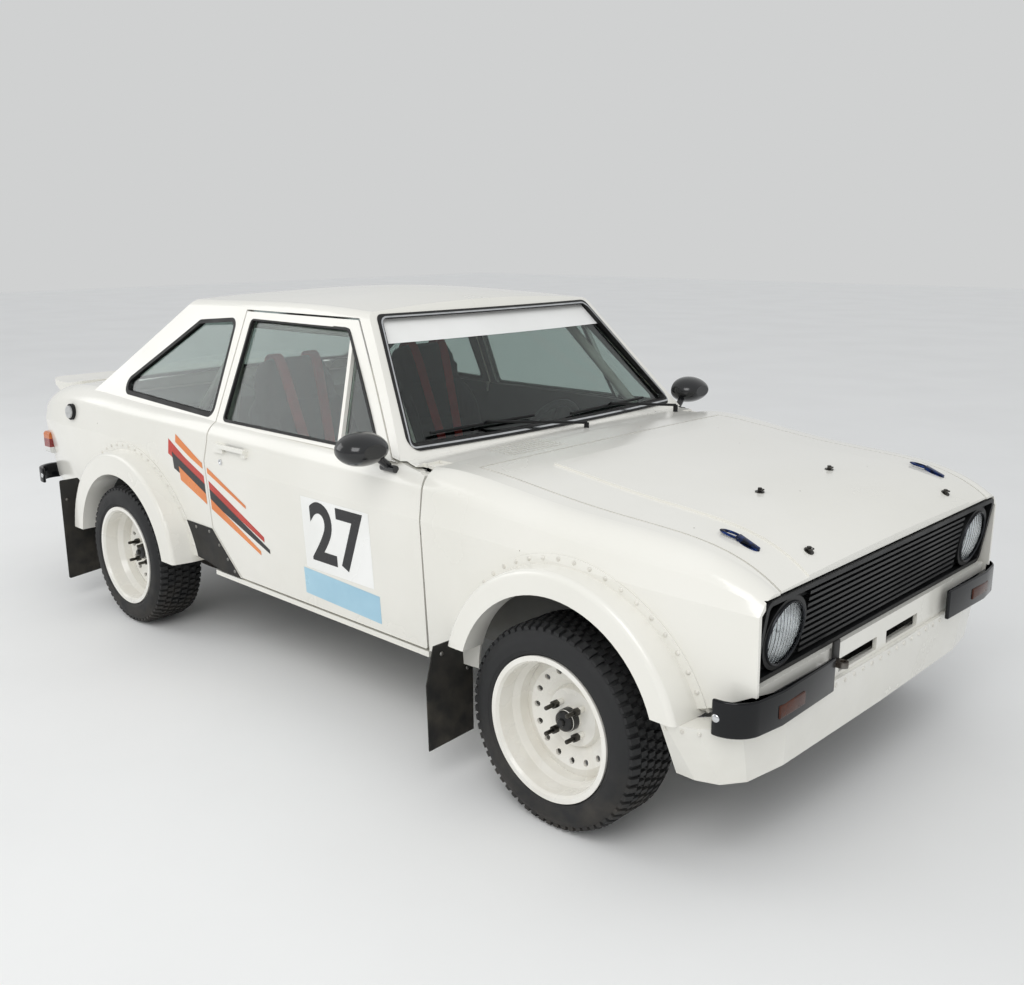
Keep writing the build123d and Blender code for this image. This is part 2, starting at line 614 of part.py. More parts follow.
BUMPER_IN_Y = 367.0
with BuildPart() as bumper:
    with BuildSketch(Plane.XY.offset(442)):
        with BuildLine():
            Polyline((2003, -BUMPER_IN_Y), (2010, -640), (2000, -720))
            ThreePointArc((2000, -720), (1975, -775), (1925, -800))
            Polyline((1925, -800), (1905, -800), (1905, -790), (1930, -788))
            ThreePointArc((1930, -788), (1971, -765), (1990, -712))
            Polyline((1990, -712), (1990, -BUMPER_IN_Y), (2003, -BUMPER_IN_Y))
        make_face()
    extrude(amount=94)
    add(block(PANEL_X, 1991, -530, -470, 469, 509))
with BuildPart() as rear_bumper:
    with BuildSketch(Plane.XY.offset(474)):
        with BuildLine():
            Polyline((-1960, -520), (-1960, -690))
            ThreePointArc((-1960, -690), (-1938, -762), (-1860, -796))
            Polyline((-1860, -796), (-1845, -796), (-1845, -784), (-1866, -780))
            ThreePointArc((-1866, -780), (-1918, -752), (-1930, -690))
            Polyline((-1930, -690), (-1930, -520), (-1960, -520))
        make_face()
    extrude(amount=70)
    add(block(-1935, TAIL_X, -625, -575, 493, 523))
bumper_part = largest(bumper.part)
rear_bumper_part = largest(rear_bumper.part)
save_group((bumper_part, mirrored(bumper_part),
            rear_bumper_part, mirrored(rear_bumper_part)), "quarter_bumpers")
spoiler_skin = spoiler_skin - bumper_part - mirrored(bumper_part)
spoiler_part = largest(spoiler_skin)
save(spoiler_part, "front_spoiler")


# Wheel arch flares.
FLARE_T = 9.0
FLANGE_W = 26.0


def flare(centre, root_r, ridge_r, skin, body, foot_z):
    """Riveted arch blister on the right side: flange, swept shoulder and flat face."""
    x, z = centre
    inner_y = -ARCH_FACE_Y + FLARE_T
    with BuildPart() as solid:
        with BuildSketch(Plane(origin=(x, 0, z), x_dir=(1, 0, 0), z_dir=(0, 0, 1))):
            with BuildLine():
                Polyline((ARCH_R, -720), (ARCH_R, -ARCH_FACE_Y), (ridge_r - 14, -ARCH_FACE_Y))
                ThreePointArc((ridge_r - 14, -ARCH_FACE_Y), (ridge_r - 2, -ARCH_FACE_Y + 5),
                              (ridge_r + 3, -ARCH_FACE_Y + 18))
                Polyline((ridge_r + 3, -ARCH_FACE_Y + 18), (root_r, -772), (root_r, -720),
                         (root_r - FLARE_T, -720), (root_r - FLARE_T, -772),
                         (ridge_r - 14, inner_y + 10), (ridge_r - 22, inner_y),
                         (ARCH_R + FLARE_T, inner_y), (ARCH_R + FLARE_T, -720), (ARCH_R, -720))
            make_face()
        revolve(axis=Axis((x, 0, z), (0, 1, 0)))
        add(skin & (bar((x, -900, z), (x, -700, z), root_r + FLANGE_W)
                    - bar((x, -901, z), (x, -600, z), root_r - FLARE_T)))
        add(body, mode=Mode.SUBTRACT)
        add(block(x - 600, x + 600, -900, -600, -200, foot_z), mode=Mode.SUBTRACT)
    return largest(solid.part)


FLARE_FOOT_Z = 446.0
front_flare = flare(FRONT_ARCH, 426, 418, NOSE_SKIN, NOSE_CLEAR, FLARE_FOOT_Z) - block(
    1500, 1990, -900, -600, 300, RIDGE_Z)
front_flare = largest(front_flare - bumper_part - spoiler_part)
rear_flare = flare(REAR_ARCH, 456, 440, TAIL_SKIN, TAIL_CLEAR, 350)
save_group((front_flare, mirrored(front_flare), rear_flare, mirrored(rear_flare)), "arch_flares")

# Tail.
with BuildPart() as boot_lid:
    add(TAIL_BODY)
    add(block(TAIL_X, BOOT_FRONT_X, -LID_Y, LID_Y, BOOT_LIP_Z, 1100), mode=Mode.INTERSECT)
    add(lower_body(TAIL_ROWS, BONNET_T, 200) & block(
        TAIL_X + BONNET_T, BOOT_FRONT_X + 1, -700, 700, 300, 1000), mode=Mode.SUBTRACT)
    add(lower_body(TAIL_ROWS, LID_SKIN, 200) & block(
        TAIL_X + LID_SKIN, BOOT_FRONT_X - LID_RIM, -LID_Y + LID_RIM, LID_Y - LID_RIM,
        BOOT_LIP_Z + 20, 1000), mode=Mode.SUBTRACT)
    lid_hinge_notch(BOOT_HINGE, -1)
boot_lid_part = largest(boot_lid.part)
save(boot_lid_part, "boot_lid")

# Ducktail on the lid: flat top, upturned lip, curved underside, rounded tips in plan.
SPOILER_TIP_X = -2018.0
with BuildPart() as boot_spoiler:
    with BuildSketch(Plane.XZ.offset(-LID_Y)):
        with BuildLine():
            ThreePointArc((-1720, 955), (-1860, 938), (SPOILER_TIP_X, 950))
            ThreePointArc((SPOILER_TIP_X, 950), (SPOILER_TIP_X - 0.0001, 943),
                          (SPOILER_TIP_X + 3, 936))
            ThreePointArc((SPOILER_TIP_X + 3, 936), (-1945, 905), (-1885, 850))
            Polyline((-1885, 850), (-1860, 850), (-1720, 930), (-1720, 955))
        make_face()
    extrude(amount=2 * LID_Y)
    add(upward([(SPOILER_TIP_X - 1, -LID_Y - 1), (-1700, -LID_Y - 1), (-1700, LID_Y + 1),
                (SPOILER_TIP_X - 1, LID_Y + 1)], 800, 1000, 60), mode=Mode.INTERSECT)
    add(TAIL_CLEAR, mode=Mode.SUBTRACT)
save(largest(boot_spoiler.part), "boot_spoiler")

REAR_PANEL_T = 14.0
rear_panel = TAIL_INNER & block(TAIL_X, TAIL_X + REAR_PANEL_T, -690, 690, 460, BOOT_LIP_Z - GAP)
save(largest(rear_panel), "rear_panel")

LAMP_ROW = (610.0, 712.0)
with BuildPart() as tail_lamp:
    with BuildSketch(Plane.YZ.offset(TAIL_X - 13)):
        with Locations((-690, sum(LAMP_ROW) / 2)):
            RectangleRounded(118, LAMP_ROW[1] - LAMP_ROW[0], 14)
    extrude(amount=58)
    add(TAIL_CLEAR, mode=Mode.SUBTRACT)
tail_lamp_part = largest(tail_lamp.part)
save_group((tail_lamp_part, mirrored(tail_lamp_part)), "tail_lamps")

with BuildPart() as fuel_cap:
    add(bar((-1508, -755, 850), (-1508, -783, 851.5), 36))
    add(bar((-1508, -780, 851.3), (-1508, -792, 852), 28))
    add(TAIL_CLEAR, mode=Mode.SUBTRACT)
save(largest(fuel_cap.part), "fuel_cap")

# Structure below and behind.
TOWER_Z = (745.0, 760.0)
STRUT_ROD_R = 12.0
KINGPIN_LOW = (650.0, 195.0)
KINGPIN_TOP = (570.0, 690.0)
KINGPIN_RUN = (KINGPIN_TOP[0] - KINGPIN_LOW[0]) / (KINGPIN_TOP[1] - KINGPIN_LOW[1])


def on_kingpin(z):
    """Point of the right kingpin axis at height z."""
    return (FRONT_AXLE_X, -KINGPIN_LOW[0] - KINGPIN_RUN * (z - KINGPIN_LOW[1]), z)


SHELF_X = -1350.0
with BuildPart() as floor_pan:
    add(block(-700, 742, -640, 640, FLOOR_Z, 312))
    for side in (-640, 622):
        add(block(-700, 742, side, side + 18, FLOOR_Z, 360))
    add(block(-700, 742, -TUNNEL_Y, TUNNEL_Y, FLOOR_Z, TUNNEL_Z))
    add(block(-718, -700, -590, 590, FLOOR_Z, 520))
    add(block(-719, 743, -TUNNEL_Y + 16, TUNNEL_Y - 16, FLOOR_Z - 20, TUNNEL_Z - 16),
        mode=Mode.SUBTRACT)
    add(block(-1876, -718, -590, 590, 502, 520))
    add(across([(-718, 518), (-760, 518), (-960, 900), (SHELF_X, 925), (SHELF_X, 940),
                (-945, 915), (-735, 520)], -640, 640))
    add(TAIL_BODY & block(BOOT_FRONT_X + GAP, SHELF_X + 10, -ROOF_EDGE_Y + SEAM,
                          ROOF_EDGE_Y - SEAM, 950, 988))
    add(block(SHELF_X - 20, SHELF_X, -540, 540, 925, 970))
    add(block(BOOT_FRONT_X + GAP, BOOT_FRONT_X + GAP + 14, -540, 540, 940, 965))
    lid_hinge_arm(BOOT_HINGE, -1, 960)
    for side in (-1, 1):
        add(block(690, 1940, *sorted((side * 380, side * 412)), 270, 330))
        add(block(756, 1900, *sorted((side * 380, side * 470)), 318, 330))
        add(block(756, 1900, *sorted((side * 458, side * 470)), 318, TOWER_Z[1]))
        add(block(1290, 1520, *sorted((side * 458, side * 690)), *TOWER_Z))
        add(block(1895, 1925, *sorted((side * 380, side * 412)), 270, 533.7))
    add(block(1900, PANEL_X - PANEL_T, -640, 640, 505, 533.7))
    add(block(1900, 1940, -470, 470, 300, 340))
    strut_hole = bar(on_kingpin(740), on_kingpin(765), STRUT_ROD_R + SEAM)
    add(strut_hole, mode=Mode.SUBTRACT)
    add(mirrored(strut_hole), mode=Mode.SUBTRACT)
floor_part = floor_pan.part
save(floor_part, "floor_pan")

with BuildPart() as radiator:
    add(block(1866, 1899.7, -235, 235, 360, 745))
    add(block(1880, 1899.7, -300, -200, 690, 725))
    add(block(1870, 1899.7, -225, 225, 330, 360))
save(radiator.part, "radiator")

# Cabin fittings.
SEAT_Y = 345.0
SEAT_SIDE = [(-330, 400), (170, 424), (205, 470), (190, 520), (-150, 498), (-205, 520),
             (-370, 1130), (-402, 1140), (-455, 1120), (-455, 1040)]
SEAT_WING = [(-330, 400), (170, 424), (205, 470), (178, 580), (40, 612), (-120, 610),
             (-200, 700), (-262, 880), (-330, 960), (-340, 1060), (-400, 1080), (-455, 1040)]
SEAT_FRONT = [(-205, 398), (205, 398), (215, 470), (205, 640), (222, 800), (212, 940),
              (165, 985), (150, 1090), (115, 1142), (-115, 1142), (-150, 1090), (-165, 985),
              (-212, 940), (-222, 800), (-205, 640), (-215, 470)]
with BuildPart() as seat:
    add(across(SEAT_SIDE, -190, 190, 14))
    for side in (-205, 155):
        add(across(SEAT_WING, side, side + 50, 12))
    add(along(SEAT_FRONT, -500, 300, 8), mode=Mode.INTERSECT)
    for side in (-170, 130):
        add(block(-300, 100, side, side + 40, 312, 424))
seats = []
for side in (-SEAT_Y, SEAT_Y):
    seats.append(largest(seat.part).moved(Location((0, side, 0))))
save_group(seats, "seats")

COLUMN_ANGLE = math.radians(22)
COLUMN_DIR = Vector(-math.cos(COLUMN_ANGLE), 0, math.sin(COLUMN_ANGLE))
WHEEL_CENTRE = Vector(330, 370, 800)
COLUMN_R = 11.0
DASH = [(520, 790), (540, 880), (600, 915), (715, 905), (738, 890), (738, 800), (700, 770),
        (560, 745), (530, 760)]
COWL = [(470, 800), (500, 900), (560, 935), (640, 925), (640, 830), (520, 780)]
with BuildPart() as dashboard:
    add(across(DASH, -560, 560, 12))
    add(across(COWL, 230, 510, 10))
    add(bar(tuple(WHEEL_CENTRE - COLUMN_DIR * 60), tuple(WHEEL_CENTRE - COLUMN_DIR * 240), 26))
    add(bar(tuple(WHEEL_CENTRE - COLUMN_DIR * 40), tuple(WHEEL_CENTRE - COLUMN_DIR * 170),
            COLUMN_R + RUNNING), mode=Mode.SUBTRACT)
    for side in (-560, 544):
        add(block(640, 742, side, side + 16, 800, 860))
save(largest(dashboard.part), "dashboard")

# Dished sports wheel: rim ring, three spokes, boss and shaft.
STEERING_R = 165.0
with BuildPart() as steering_wheel:
    with BuildSketch(Plane(origin=WHEEL_CENTRE, x_dir=(0, 1, 0),
                           z_dir=(COLUMN_DIR.Z, 0, -COLUMN_DIR.X))):
        with Locations((STEERING_R, 0)):
            Circle(15)
    revolve(axis=Axis(WHEEL_CENTRE, COLUMN_DIR))
    with BuildSketch(Plane(origin=WHEEL_CENTRE - COLUMN_DIR * 4, x_dir=(0, 1, 0),
                           z_dir=COLUMN_DIR)):
        Circle(44)
        for turn in (0, 180, 270):
            with Locations(Rotation(0, 0, turn)):
                with Locations((80, 0)):
                    Rectangle(160, 28)
    extrude(amount=6)
    add(bar(tuple(WHEEL_CENTRE), tuple(WHEEL_CENTRE - COLUMN_DIR * 34), 30))
    add(bar(tuple(WHEEL_CENTRE), tuple(WHEEL_CENTRE - COLUMN_DIR * 150), COLUMN_R))
save(largest(steering_wheel.part), "steering_wheel")

with BuildPart() as gear_lever:
    add(bar((300, 0, TUNNEL_Z), (290, 0, TUNNEL_Z + 18), 34))
    add(bar((300, 0, TUNNEL_Z + 10), (270, 0, 650), 7))
    with Locations((269, 0, 656)):
        Sphere(20)
    add(block(60, 110, -40, -16, TUNNEL_Z, TUNNEL_Z + 20))
    add(bar((90, -28, TUNNEL_Z + 10), (-40, -28, 580), 9))
    add(block(-100, 400, -60, 60, TUNNEL_Z - 40, TUNNEL_Z + SEAM), mode=Mode.SUBTRACT)
save_group(gear_lever.part.solids(), "hand_levers")

CAGE_R = 20.0
HOOP_X = -490.0
HOOP_TOP = (505.0, 1288.0)
with BuildPart() as cage:
    add(tube_run([(HOOP_X, -578, 312), (HOOP_X, -578, 900), (HOOP_X, -HOOP_TOP[0], HOOP_TOP[1]),
                  (HOOP_X, HOOP_TOP[0], HOOP_TOP[1]), (HOOP_X, 578, 900), (HOOP_X, 578, 312)],
                 CAGE_R))
    add(bar((HOOP_X, -560, 1090), (HOOP_X, 560, 420), CAGE_R - 2))
    add(bar((300, -492, 1280), (300, 492, 1280), CAGE_R - 1))
    for side in (-1, 1):
        add(tube_run([(HOOP_X, side * 490, 1282), (300, side * 490, 1282),
                      (610, side * 596, 925), (690, side * 604, 312)], CAGE_R - 1.5))
        add(bar((HOOP_X, side * 578, 760), (662, side * 600, 520), CAGE_R - 2.5))
        add(bar((HOOP_X, side * 478, 1276), (-930, side * 470, 866), CAGE_R - 3))
    add(floor_part, mode=Mode.SUBTRACT)
cage_part = largest(cage.part)
save(cage_part, "roll_cage")

# Running gear.
ENGINE_Z = 360.0
with BuildPart() as engine:
    add(block(1050, 1640, -180, 180, ENGINE_Z, 780))
    add(block(820, 1050, -90, 90, 290, 440))
    add(bar((820, 0, 350), (-886, 0, 306), 32))
save(engine.part, "engine_and_gearbox")

AXLE_TUBE_R = 38.0
SPRING_Y = 480.0
with BuildPart() as rear_axle:
    add(bar((REAR_AXLE_X, -HUB_FACE_Y, AXLE_Z), (REAR_AXLE_X, HUB_FACE_Y, AXLE_Z), 28))
    add(bar((REAR_AXLE_X, -610, AXLE_Z), (REAR_AXLE_X, 610, AXLE_Z), AXLE_TUBE_R))
    with Locations((REAR_AXLE_X, 0, AXLE_Z)):
        Sphere(120)
    for side in (-1, 1):
        add(bar((REAR_AXLE_X, side * 604, AXLE_Z), (REAR_AXLE_X, side * 664, AXLE_Z), 115))
        y_low, y_high = sorted((side * SPRING_Y - 25, side * SPRING_Y + 25))
        with BuildSketch(Plane.XZ.offset(-y_high)):
            with BuildLine():
                ThreePointArc((-1600, 432), (-1003, 222), (-400, 312))
                Line((-400, 312), (-400, 298))
                ThreePointArc((-400, 298), (-1003, 204), (-1600, 418))
                Line((-1600, 418), (-1600, 432))
            make_face()
        extrude(amount=50)
        add(block(-1063, -943, y_low, y_high, 215, 262))
        add(block(-1608, -1592, y_low, y_high, 420, 502))
        add(block(-420, -400, y_low, y_high, 286, FLOOR_Z))
        add(bar((-1040, side * 410, 235), (-1150, side * 400, 502), 22))
        add(block(-1060, -1000, *sorted((side * 385, side * 460)), 225, 245))
    add(floor_part, mode=Mode.SUBTRACT)
    add(engine.part, mode=Mode.SUBTRACT)
save(largest(rear_axle.part), "rear_axle")

BALL_R = 8.0
RACK_X = FRONT_AXLE_X - 112
RACK_Z = 192.0
RACK_R = 7.0
ROD_END_R = 10.0
ROD_END_H = 16.0
with BuildPart() as knuckle:
    add(bar(on_kingpin(210), on_kingpin(736), 24))
    add(bar(on_kingpin(730), on_kingpin(766), STRUT_ROD_R))
    add(bar(on_kingpin(600), on_kingpin(612), 60))
    add(bar(on_kingpin(610), on_kingpin(724), 50))
    add(bar(on_kingpin(722), on_kingpin(734), 60))
    add(bar((FRONT_AXLE_X, -620, AXLE_Z), (FRONT_AXLE_X, -HUB_FACE_Y, AXLE_Z), 28))
    add(bar((FRONT_AXLE_X, -668, AXLE_Z), (FRONT_AXLE_X, -680, AXLE_Z), 95))
    add(block(FRONT_AXLE_X - 40, FRONT_AXLE_X - 10, -690, -625, 330, 380))
    add(upward([(FRONT_AXLE_X, -660), (FRONT_AXLE_X, -634), (RACK_X - 12, -634),
                (RACK_X - 12, -656)], 212, 228))
    add(bar(on_kingpin(200), on_kingpin(234), BALL_R + RUNNING), mode=Mode.SUBTRACT)
save_pair(largest(knuckle.part), "knuckle")

with BuildPart() as tie_rods:
    add(bar((RACK_X, -645, RACK_Z), (RACK_X, 645, RACK_Z), RACK_R))
    for side in (-645, 645):
        add(bar((RACK_X, side, RACK_Z - ROD_END_H / 2), (RACK_X, side, RACK_Z + ROD_END_H / 2),
                ROD_END_R))
save(tie_rods.part, "tie_rods")

with BuildPart() as front_suspension:
    add(block(1360, 1450, -420, 420, 225, 270))
    for side in (-1, 1):
        low = on_kingpin(188)
        add(bar((FRONT_AXLE_X, side * 400, 238), (FRONT_AXLE_X, side * -low[1], low[2]), 11))
        if side < 0:
            boss = bar(on_kingpin(178), on_kingpin(209.7), 14) + bar(
                on_kingpin(190), on_kingpin(232), BALL_R)
            add(boss)
            add(mirrored(boss))
        add(block(1376, 1436, *sorted((side * 120, side * 172)), 268, ENGINE_Z))
        add(bar((RACK_X - 120, side * 396, 256), (FRONT_AXLE_X - 8, side * 600, 208), 9))
        add(block(RACK_X - 135, RACK_X - 105, *sorted((side * 380, side * 412)), 240, 270))
    add(block(RACK_X - 20, 1362, -200, 200, 235, 262))
    add(block(RACK_X - 20, RACK_X + 20, -200, 200, RACK_Z - 18, 240))
    add(bar((RACK_X, -250, RACK_Z), (RACK_X, 250, RACK_Z), RACK_R + RUNNING), mode=Mode.SUBTRACT)
save(largest(front_suspension.part), "front_suspension")

EXHAUST_Y = 262.0
with BuildPart() as exhaust:
    add(tube_run([(1300, 180, 470), (1300, 240, 470), (1240, EXHAUST_Y, 300),
                  (1120, EXHAUST_Y, 236), (-640, EXHAUST_Y, 236), (-705, EXHAUST_Y + 10, 222)], 24))
    add(bar((-520, EXHAUST_Y, 236), (-120, EXHAUST_Y, 236), 54))
    for x in (-320, 420):
        add(block(x - 12, x + 12, EXHAUST_Y - 6, EXHAUST_Y + 6, 240, FLOOR_Z))
save(largest(exhaust.part), "exhaust")

with BuildPart() as fuel_tank:
    with BuildSketch(Plane.XY.offset(520)):
        with Locations((-1650, 0)):
            RectangleRounded(380, 840, 40)
    extrude(amount=185)
save(fuel_tank.part, "fuel_tank")

# Wheels.
LUG_R = 9.0
VENT_CIRCLE_R = 133.0
with BuildPart() as rim:
    with BuildSketch(Plane.XY):
        with BuildLine():
            Polyline((0, -HUB_FACE_Y - SEAM), (84, -HUB_FACE_Y - SEAM), (98, -704),
                     (146, -716), (160, -708), (168, -700), (174, -652), (RIM_R, -646),
                     (RIM_R + 2, -RIM_IN_Y), (FLANGE_R, -RIM_IN_Y), (FLANGE_R, -646),
                     (RIM_R + 6, -656), (182, -690), (182, -744), (RIM_R + 2, -764),
                     (RIM_R + 4, -816), (FLANGE_R, -823), (FLANGE_R, -RIM_OUT_Y),
                     (RIM_R + 4, -RIM_OUT_Y), (RIM_R - 2, -822), (RIM_R - 4, -770),
                     (176, -748), (175, -716), (150, -DISC_Y - 4), (110, -714), (92, -704),
                     (84, -DISC_Y), (34, -DISC_Y), (32, -752), (26, -758), (0, -758),
                     close=True)
        make_face()
    revolve(axis=Axis.Y)
    with BuildSketch(Plane.XZ.offset(DISC_Y - 14)):
        with PolarLocations(STUD_CIRCLE_R, 4, 45):
            Circle(LUG_R)
    extrude(amount=42)
    with BuildSketch(Plane.XZ.offset(DISC_Y - 30)):
        with PolarLocations(VENT_CIRCLE_R, 16):
            Circle(9)
    extrude(amount=60, mode=Mode.SUBTRACT)
with BuildPart() as tyre:
    with BuildSketch(Plane.XY):
        with BuildLine():
            Polyline((FLANGE_R + 1, -646), (RIM_R + 7, -656.5), (RIM_R + 7, -812),
                     (FLANGE_R + 1, -822), (FLANGE_R + 2, -828))
            ThreePointArc((FLANGE_R + 2, -828), (247, -TYRE_OUT_Y), (282, -824))
            ThreePointArc((282, -824), (292, -817), (TYRE_R - 1, -800))
            ThreePointArc((TYRE_R - 1, -800), (TYRE_R, -731), (TYRE_R - 1, -662))
            ThreePointArc((TYRE_R - 1, -662), (292, -645), (282, -638))
            ThreePointArc((282, -638), (247, -TYRE_IN_Y), (FLANGE_R + 2, -634))
            Line((FLANGE_R + 2, -634), (FLANGE_R + 1, -646))
        make_face()
    revolve(axis=Axis.Y)
for word, x in (("front", FRONT_AXLE_X), ("rear", REAR_AXLE_X)):
    place = Location((x, 0, AXLE_Z))
    save_pair(rim.part.moved(place), f"rim_{word}")
    save_pair(tyre.part.moved(place), f"tyre_{word}")

# Loose trim.
FLAP_T = 4.0
FLAP_TOP_Z = FLARE_FOOT_Z - SEAM
with BuildPart() as flap:
    add(along([(-722, 130), (-905, 120), (-910, 330), (-880, FLAP_TOP_Z), (-740, FLAP_TOP_Z),
               (-722, 330)], 1001, 1001 + FLAP_T))
    add(NOSE_CLEAR, mode=Mode.SUBTRACT)
REAR_FLAP_X = -1462.0
with BuildPart() as rear_flap:
    add(along([(-720, 120), (-884, 105), (-884, 560), (-800, 560), (-720, 430)],
              REAR_FLAP_X, REAR_FLAP_X + FLAP_T, 8))
    add(TAIL_CLEAR, mode=Mode.SUBTRACT)
    add(rear_flare, mode=Mode.SUBTRACT)
GUARD_OUTLINE = [(-732, 519), (-380, 520), (-215, 358), (-215, 345), (-482, 329), (-660, 420)]
with BuildPart() as guard:
    add(TAIL_SKIN & across(GUARD_OUTLINE, -900, -700))
    add(DOOR_SKIN & across(GUARD_OUTLINE, -900, -700))
    add(TAIL_CLEAR, mode=Mode.SUBTRACT)
    add(DOOR_CLEAR, mode=Mode.SUBTRACT)
    add(along(SILL_OUTLINE, -900, DOOR_FRONT_X, 0, SEAM), mode=Mode.SUBTRACT)
    add(bar((REAR_ARCH[0], -900, REAR_ARCH[1]), (REAR_ARCH[0], -600, REAR_ARCH[1]), 482 + SEAM),
        mode=Mode.SUBTRACT)
trim = [largest(flap.part), largest(rear_flap.part), largest(guard.part)]
save_group(trim + [mirrored(piece) for piece in trim], "splash_guards")

TOW_R = 8.0
TOW_T = 16.0
TOW_Z = 500.0
with BuildPart() as tow_eyes:
    for x_from, x_to, y in ((PANEL_X, 2003, -330), (TAIL_X, -1912, 330)):
        with BuildSketch(Plane.XY.offset(TOW_Z)):
            with Locations(((x_from + x_to) / 2, y)):
                Rectangle(abs(x_to - x_from), 30)
            with Locations((x_to, y)):
                Circle(15)
                Circle(TOW_R, mode=Mode.SUBTRACT)
        extrude(amount=TOW_T)
save_group(tow_eyes.part.solids(), "tow_eyes")


def on_screen(y, run, lift):
    """Point on the windscreen at width y, run up its slope and lifted off outward."""
    slope = Vector(SCREEN_HEAD[0] - SCREEN_FOOT[0], 0, SCREEN_HEAD[1] - SCREEN_FOOT[1]).normalized()
    outward = Vector(slope.Z, 0, -slope.X)
    sag = y * y / (2 * SCREEN_BOW_R)
    foot = Vector(SCREEN_FOOT[0], y, SCREEN_FOOT[1])
    return tuple(foot + slope * run + outward * (lift - sag))


# Wipers parked low on the screen. Columns: pivot y, blade ends y and run up the screen.
WIPER_ROWS = [(60, -583, 92, -120, 78), (600, 61, 58, 520, 78)]
WIPER_LIFT = 9.0
with BuildPart() as wipers:
    for pivot_y, far_y, far_run, near_y, near_run in WIPER_ROWS:
        pivot = (792, pivot_y, 962)
        middle = on_screen((far_y + near_y) / 2, (far_run + near_run) / 2, WIPER_LIFT + 2)
        add(bar((792, pivot_y, 936), pivot, 9))
        add(bar(pivot, middle, 5))
        add(bar(on_screen(far_y, far_run, WIPER_LIFT - 8),
                on_screen(near_y, near_run, WIPER_LIFT - 8), 5))
        add(bar(middle, on_screen((far_y + near_y) / 2, (far_run + near_run) / 2, 0), 4))
    add(DOOR_CLEAR, mode=Mode.SUBTRACT)
save_group(wipers.part.solids(), "wipers")
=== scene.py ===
"""A white two-door rally saloon, dressed around its CAD frame."""
import math

import bpy
from mathutils import Euler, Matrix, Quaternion, Vector


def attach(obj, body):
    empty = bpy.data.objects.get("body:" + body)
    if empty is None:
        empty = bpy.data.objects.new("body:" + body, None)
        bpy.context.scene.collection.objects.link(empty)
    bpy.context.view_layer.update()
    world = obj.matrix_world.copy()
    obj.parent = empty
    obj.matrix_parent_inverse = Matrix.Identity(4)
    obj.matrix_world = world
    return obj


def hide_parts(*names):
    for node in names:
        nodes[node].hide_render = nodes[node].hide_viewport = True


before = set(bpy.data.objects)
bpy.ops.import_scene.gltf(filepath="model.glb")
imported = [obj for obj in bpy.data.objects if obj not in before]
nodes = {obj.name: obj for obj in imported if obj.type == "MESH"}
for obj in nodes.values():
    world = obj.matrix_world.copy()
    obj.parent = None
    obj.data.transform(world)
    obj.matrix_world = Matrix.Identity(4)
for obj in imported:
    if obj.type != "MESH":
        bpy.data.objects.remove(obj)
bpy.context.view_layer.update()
bpy.ops.object.select_all(action="DESELECT")


# Bodyshell: pressed steel and glass fibre under one hand-sprayed coat of off-white enamel, its
# gloss drifting in broad patches. Gravel has left dark chips of up to 5 mm, thin dust lies
# along the sills, and the faces inside the cabin carry a dark grey painted shade.
def shade(code):
    """Linear colour of an sRGB hex code."""
    parts = [int(code[i:i + 2], 16) / 255 for i in (1, 3, 5)]
    linear = [c / 12.92 if c <= 0.04045 else ((c + 0.055) / 1.055) ** 2.4 for c in parts]
    return (*linear, 1.0)


def add_node(tree, kind, settings=None, inputs=None, links=None):
    """Add one shader node with its settings, input values and incoming links."""
    made = tree.nodes.new(kind)
    for key, value in (settings or {}).items():
        setattr(made, key, value)
    for key, value in (inputs or {}).items():
        made.inputs[key].default_value = value
    for key, source in (links or {}).items():
        tree.links.new(source, made.inputs[key])
    return made


def coords(tree, kind="Object"):
    """Object coordinates, or normals, of a shader tree."""
    return add_node(tree, "ShaderNodeTexCoord").outputs[kind]


def split(tree, kind="Object"):
    """X, Y and Z of a shader tree's coordinates or normals."""
    return add_node(tree, "ShaderNodeSeparateXYZ", None, None,
                    {"Vector": coords(tree, kind)}).outputs


def maths(tree, kind, one, two):
    """Result of one Math node, where two is a number or another result."""
    values, links = ({1: two}, {0: one}) if isinstance(two, float) else (None, {0: one, 1: two})
    return add_node(tree, "ShaderNodeMath", {"operation": kind}, values, links).outputs[0]


def finish(name, base, tint, rough, patch, grain, depth, **values):
    """Material whose colour and gloss drift in patches over a fine grain.

    patch and grain are the sizes of both patterns and depth is the grain's height, in metres.
    """
    made = bpy.data.materials.new(name)
    made.use_nodes = True
    tree = made.node_tree
    shader = tree.nodes["Principled BSDF"]
    place = coords(tree)
    drift = add_node(tree, "ShaderNodeTexNoise", None, {"Scale": 1 / patch, "Detail": 6.0},
                     {"Vector": place}).outputs["Fac"]
    blend = add_node(tree, "ShaderNodeMapRange", None, {"From Min": 0.38, "From Max": 0.66},
                     {"Value": drift}).outputs["Result"]
    colour = add_node(tree, "ShaderNodeMix", {"data_type": "RGBA"},
                      {6: shade(base), 7: shade(tint)}, {0: blend}).outputs[2]
    gloss = add_node(tree, "ShaderNodeMapRange", None,
                     {"To Min": max(rough - 0.06, 0.02), "To Max": rough + 0.08},
                     {"Value": blend}).outputs["Result"]
    fine = add_node(tree, "ShaderNodeTexNoise", None, {"Scale": 1 / grain, "Detail": 3.0},
                    {"Vector": place}).outputs["Fac"]
    bump = add_node(tree, "ShaderNodeBump", None, {"Distance": depth}, {"Height": fine})
    tree.links.new(colour, shader.inputs["Base Color"])
    tree.links.new(gloss, shader.inputs["Roughness"])
    tree.links.new(bump.outputs["Normal"], shader.inputs["Normal"])
    for key, value in values.items():
        shader.inputs[key.replace("_", " ")].default_value = value
    return made


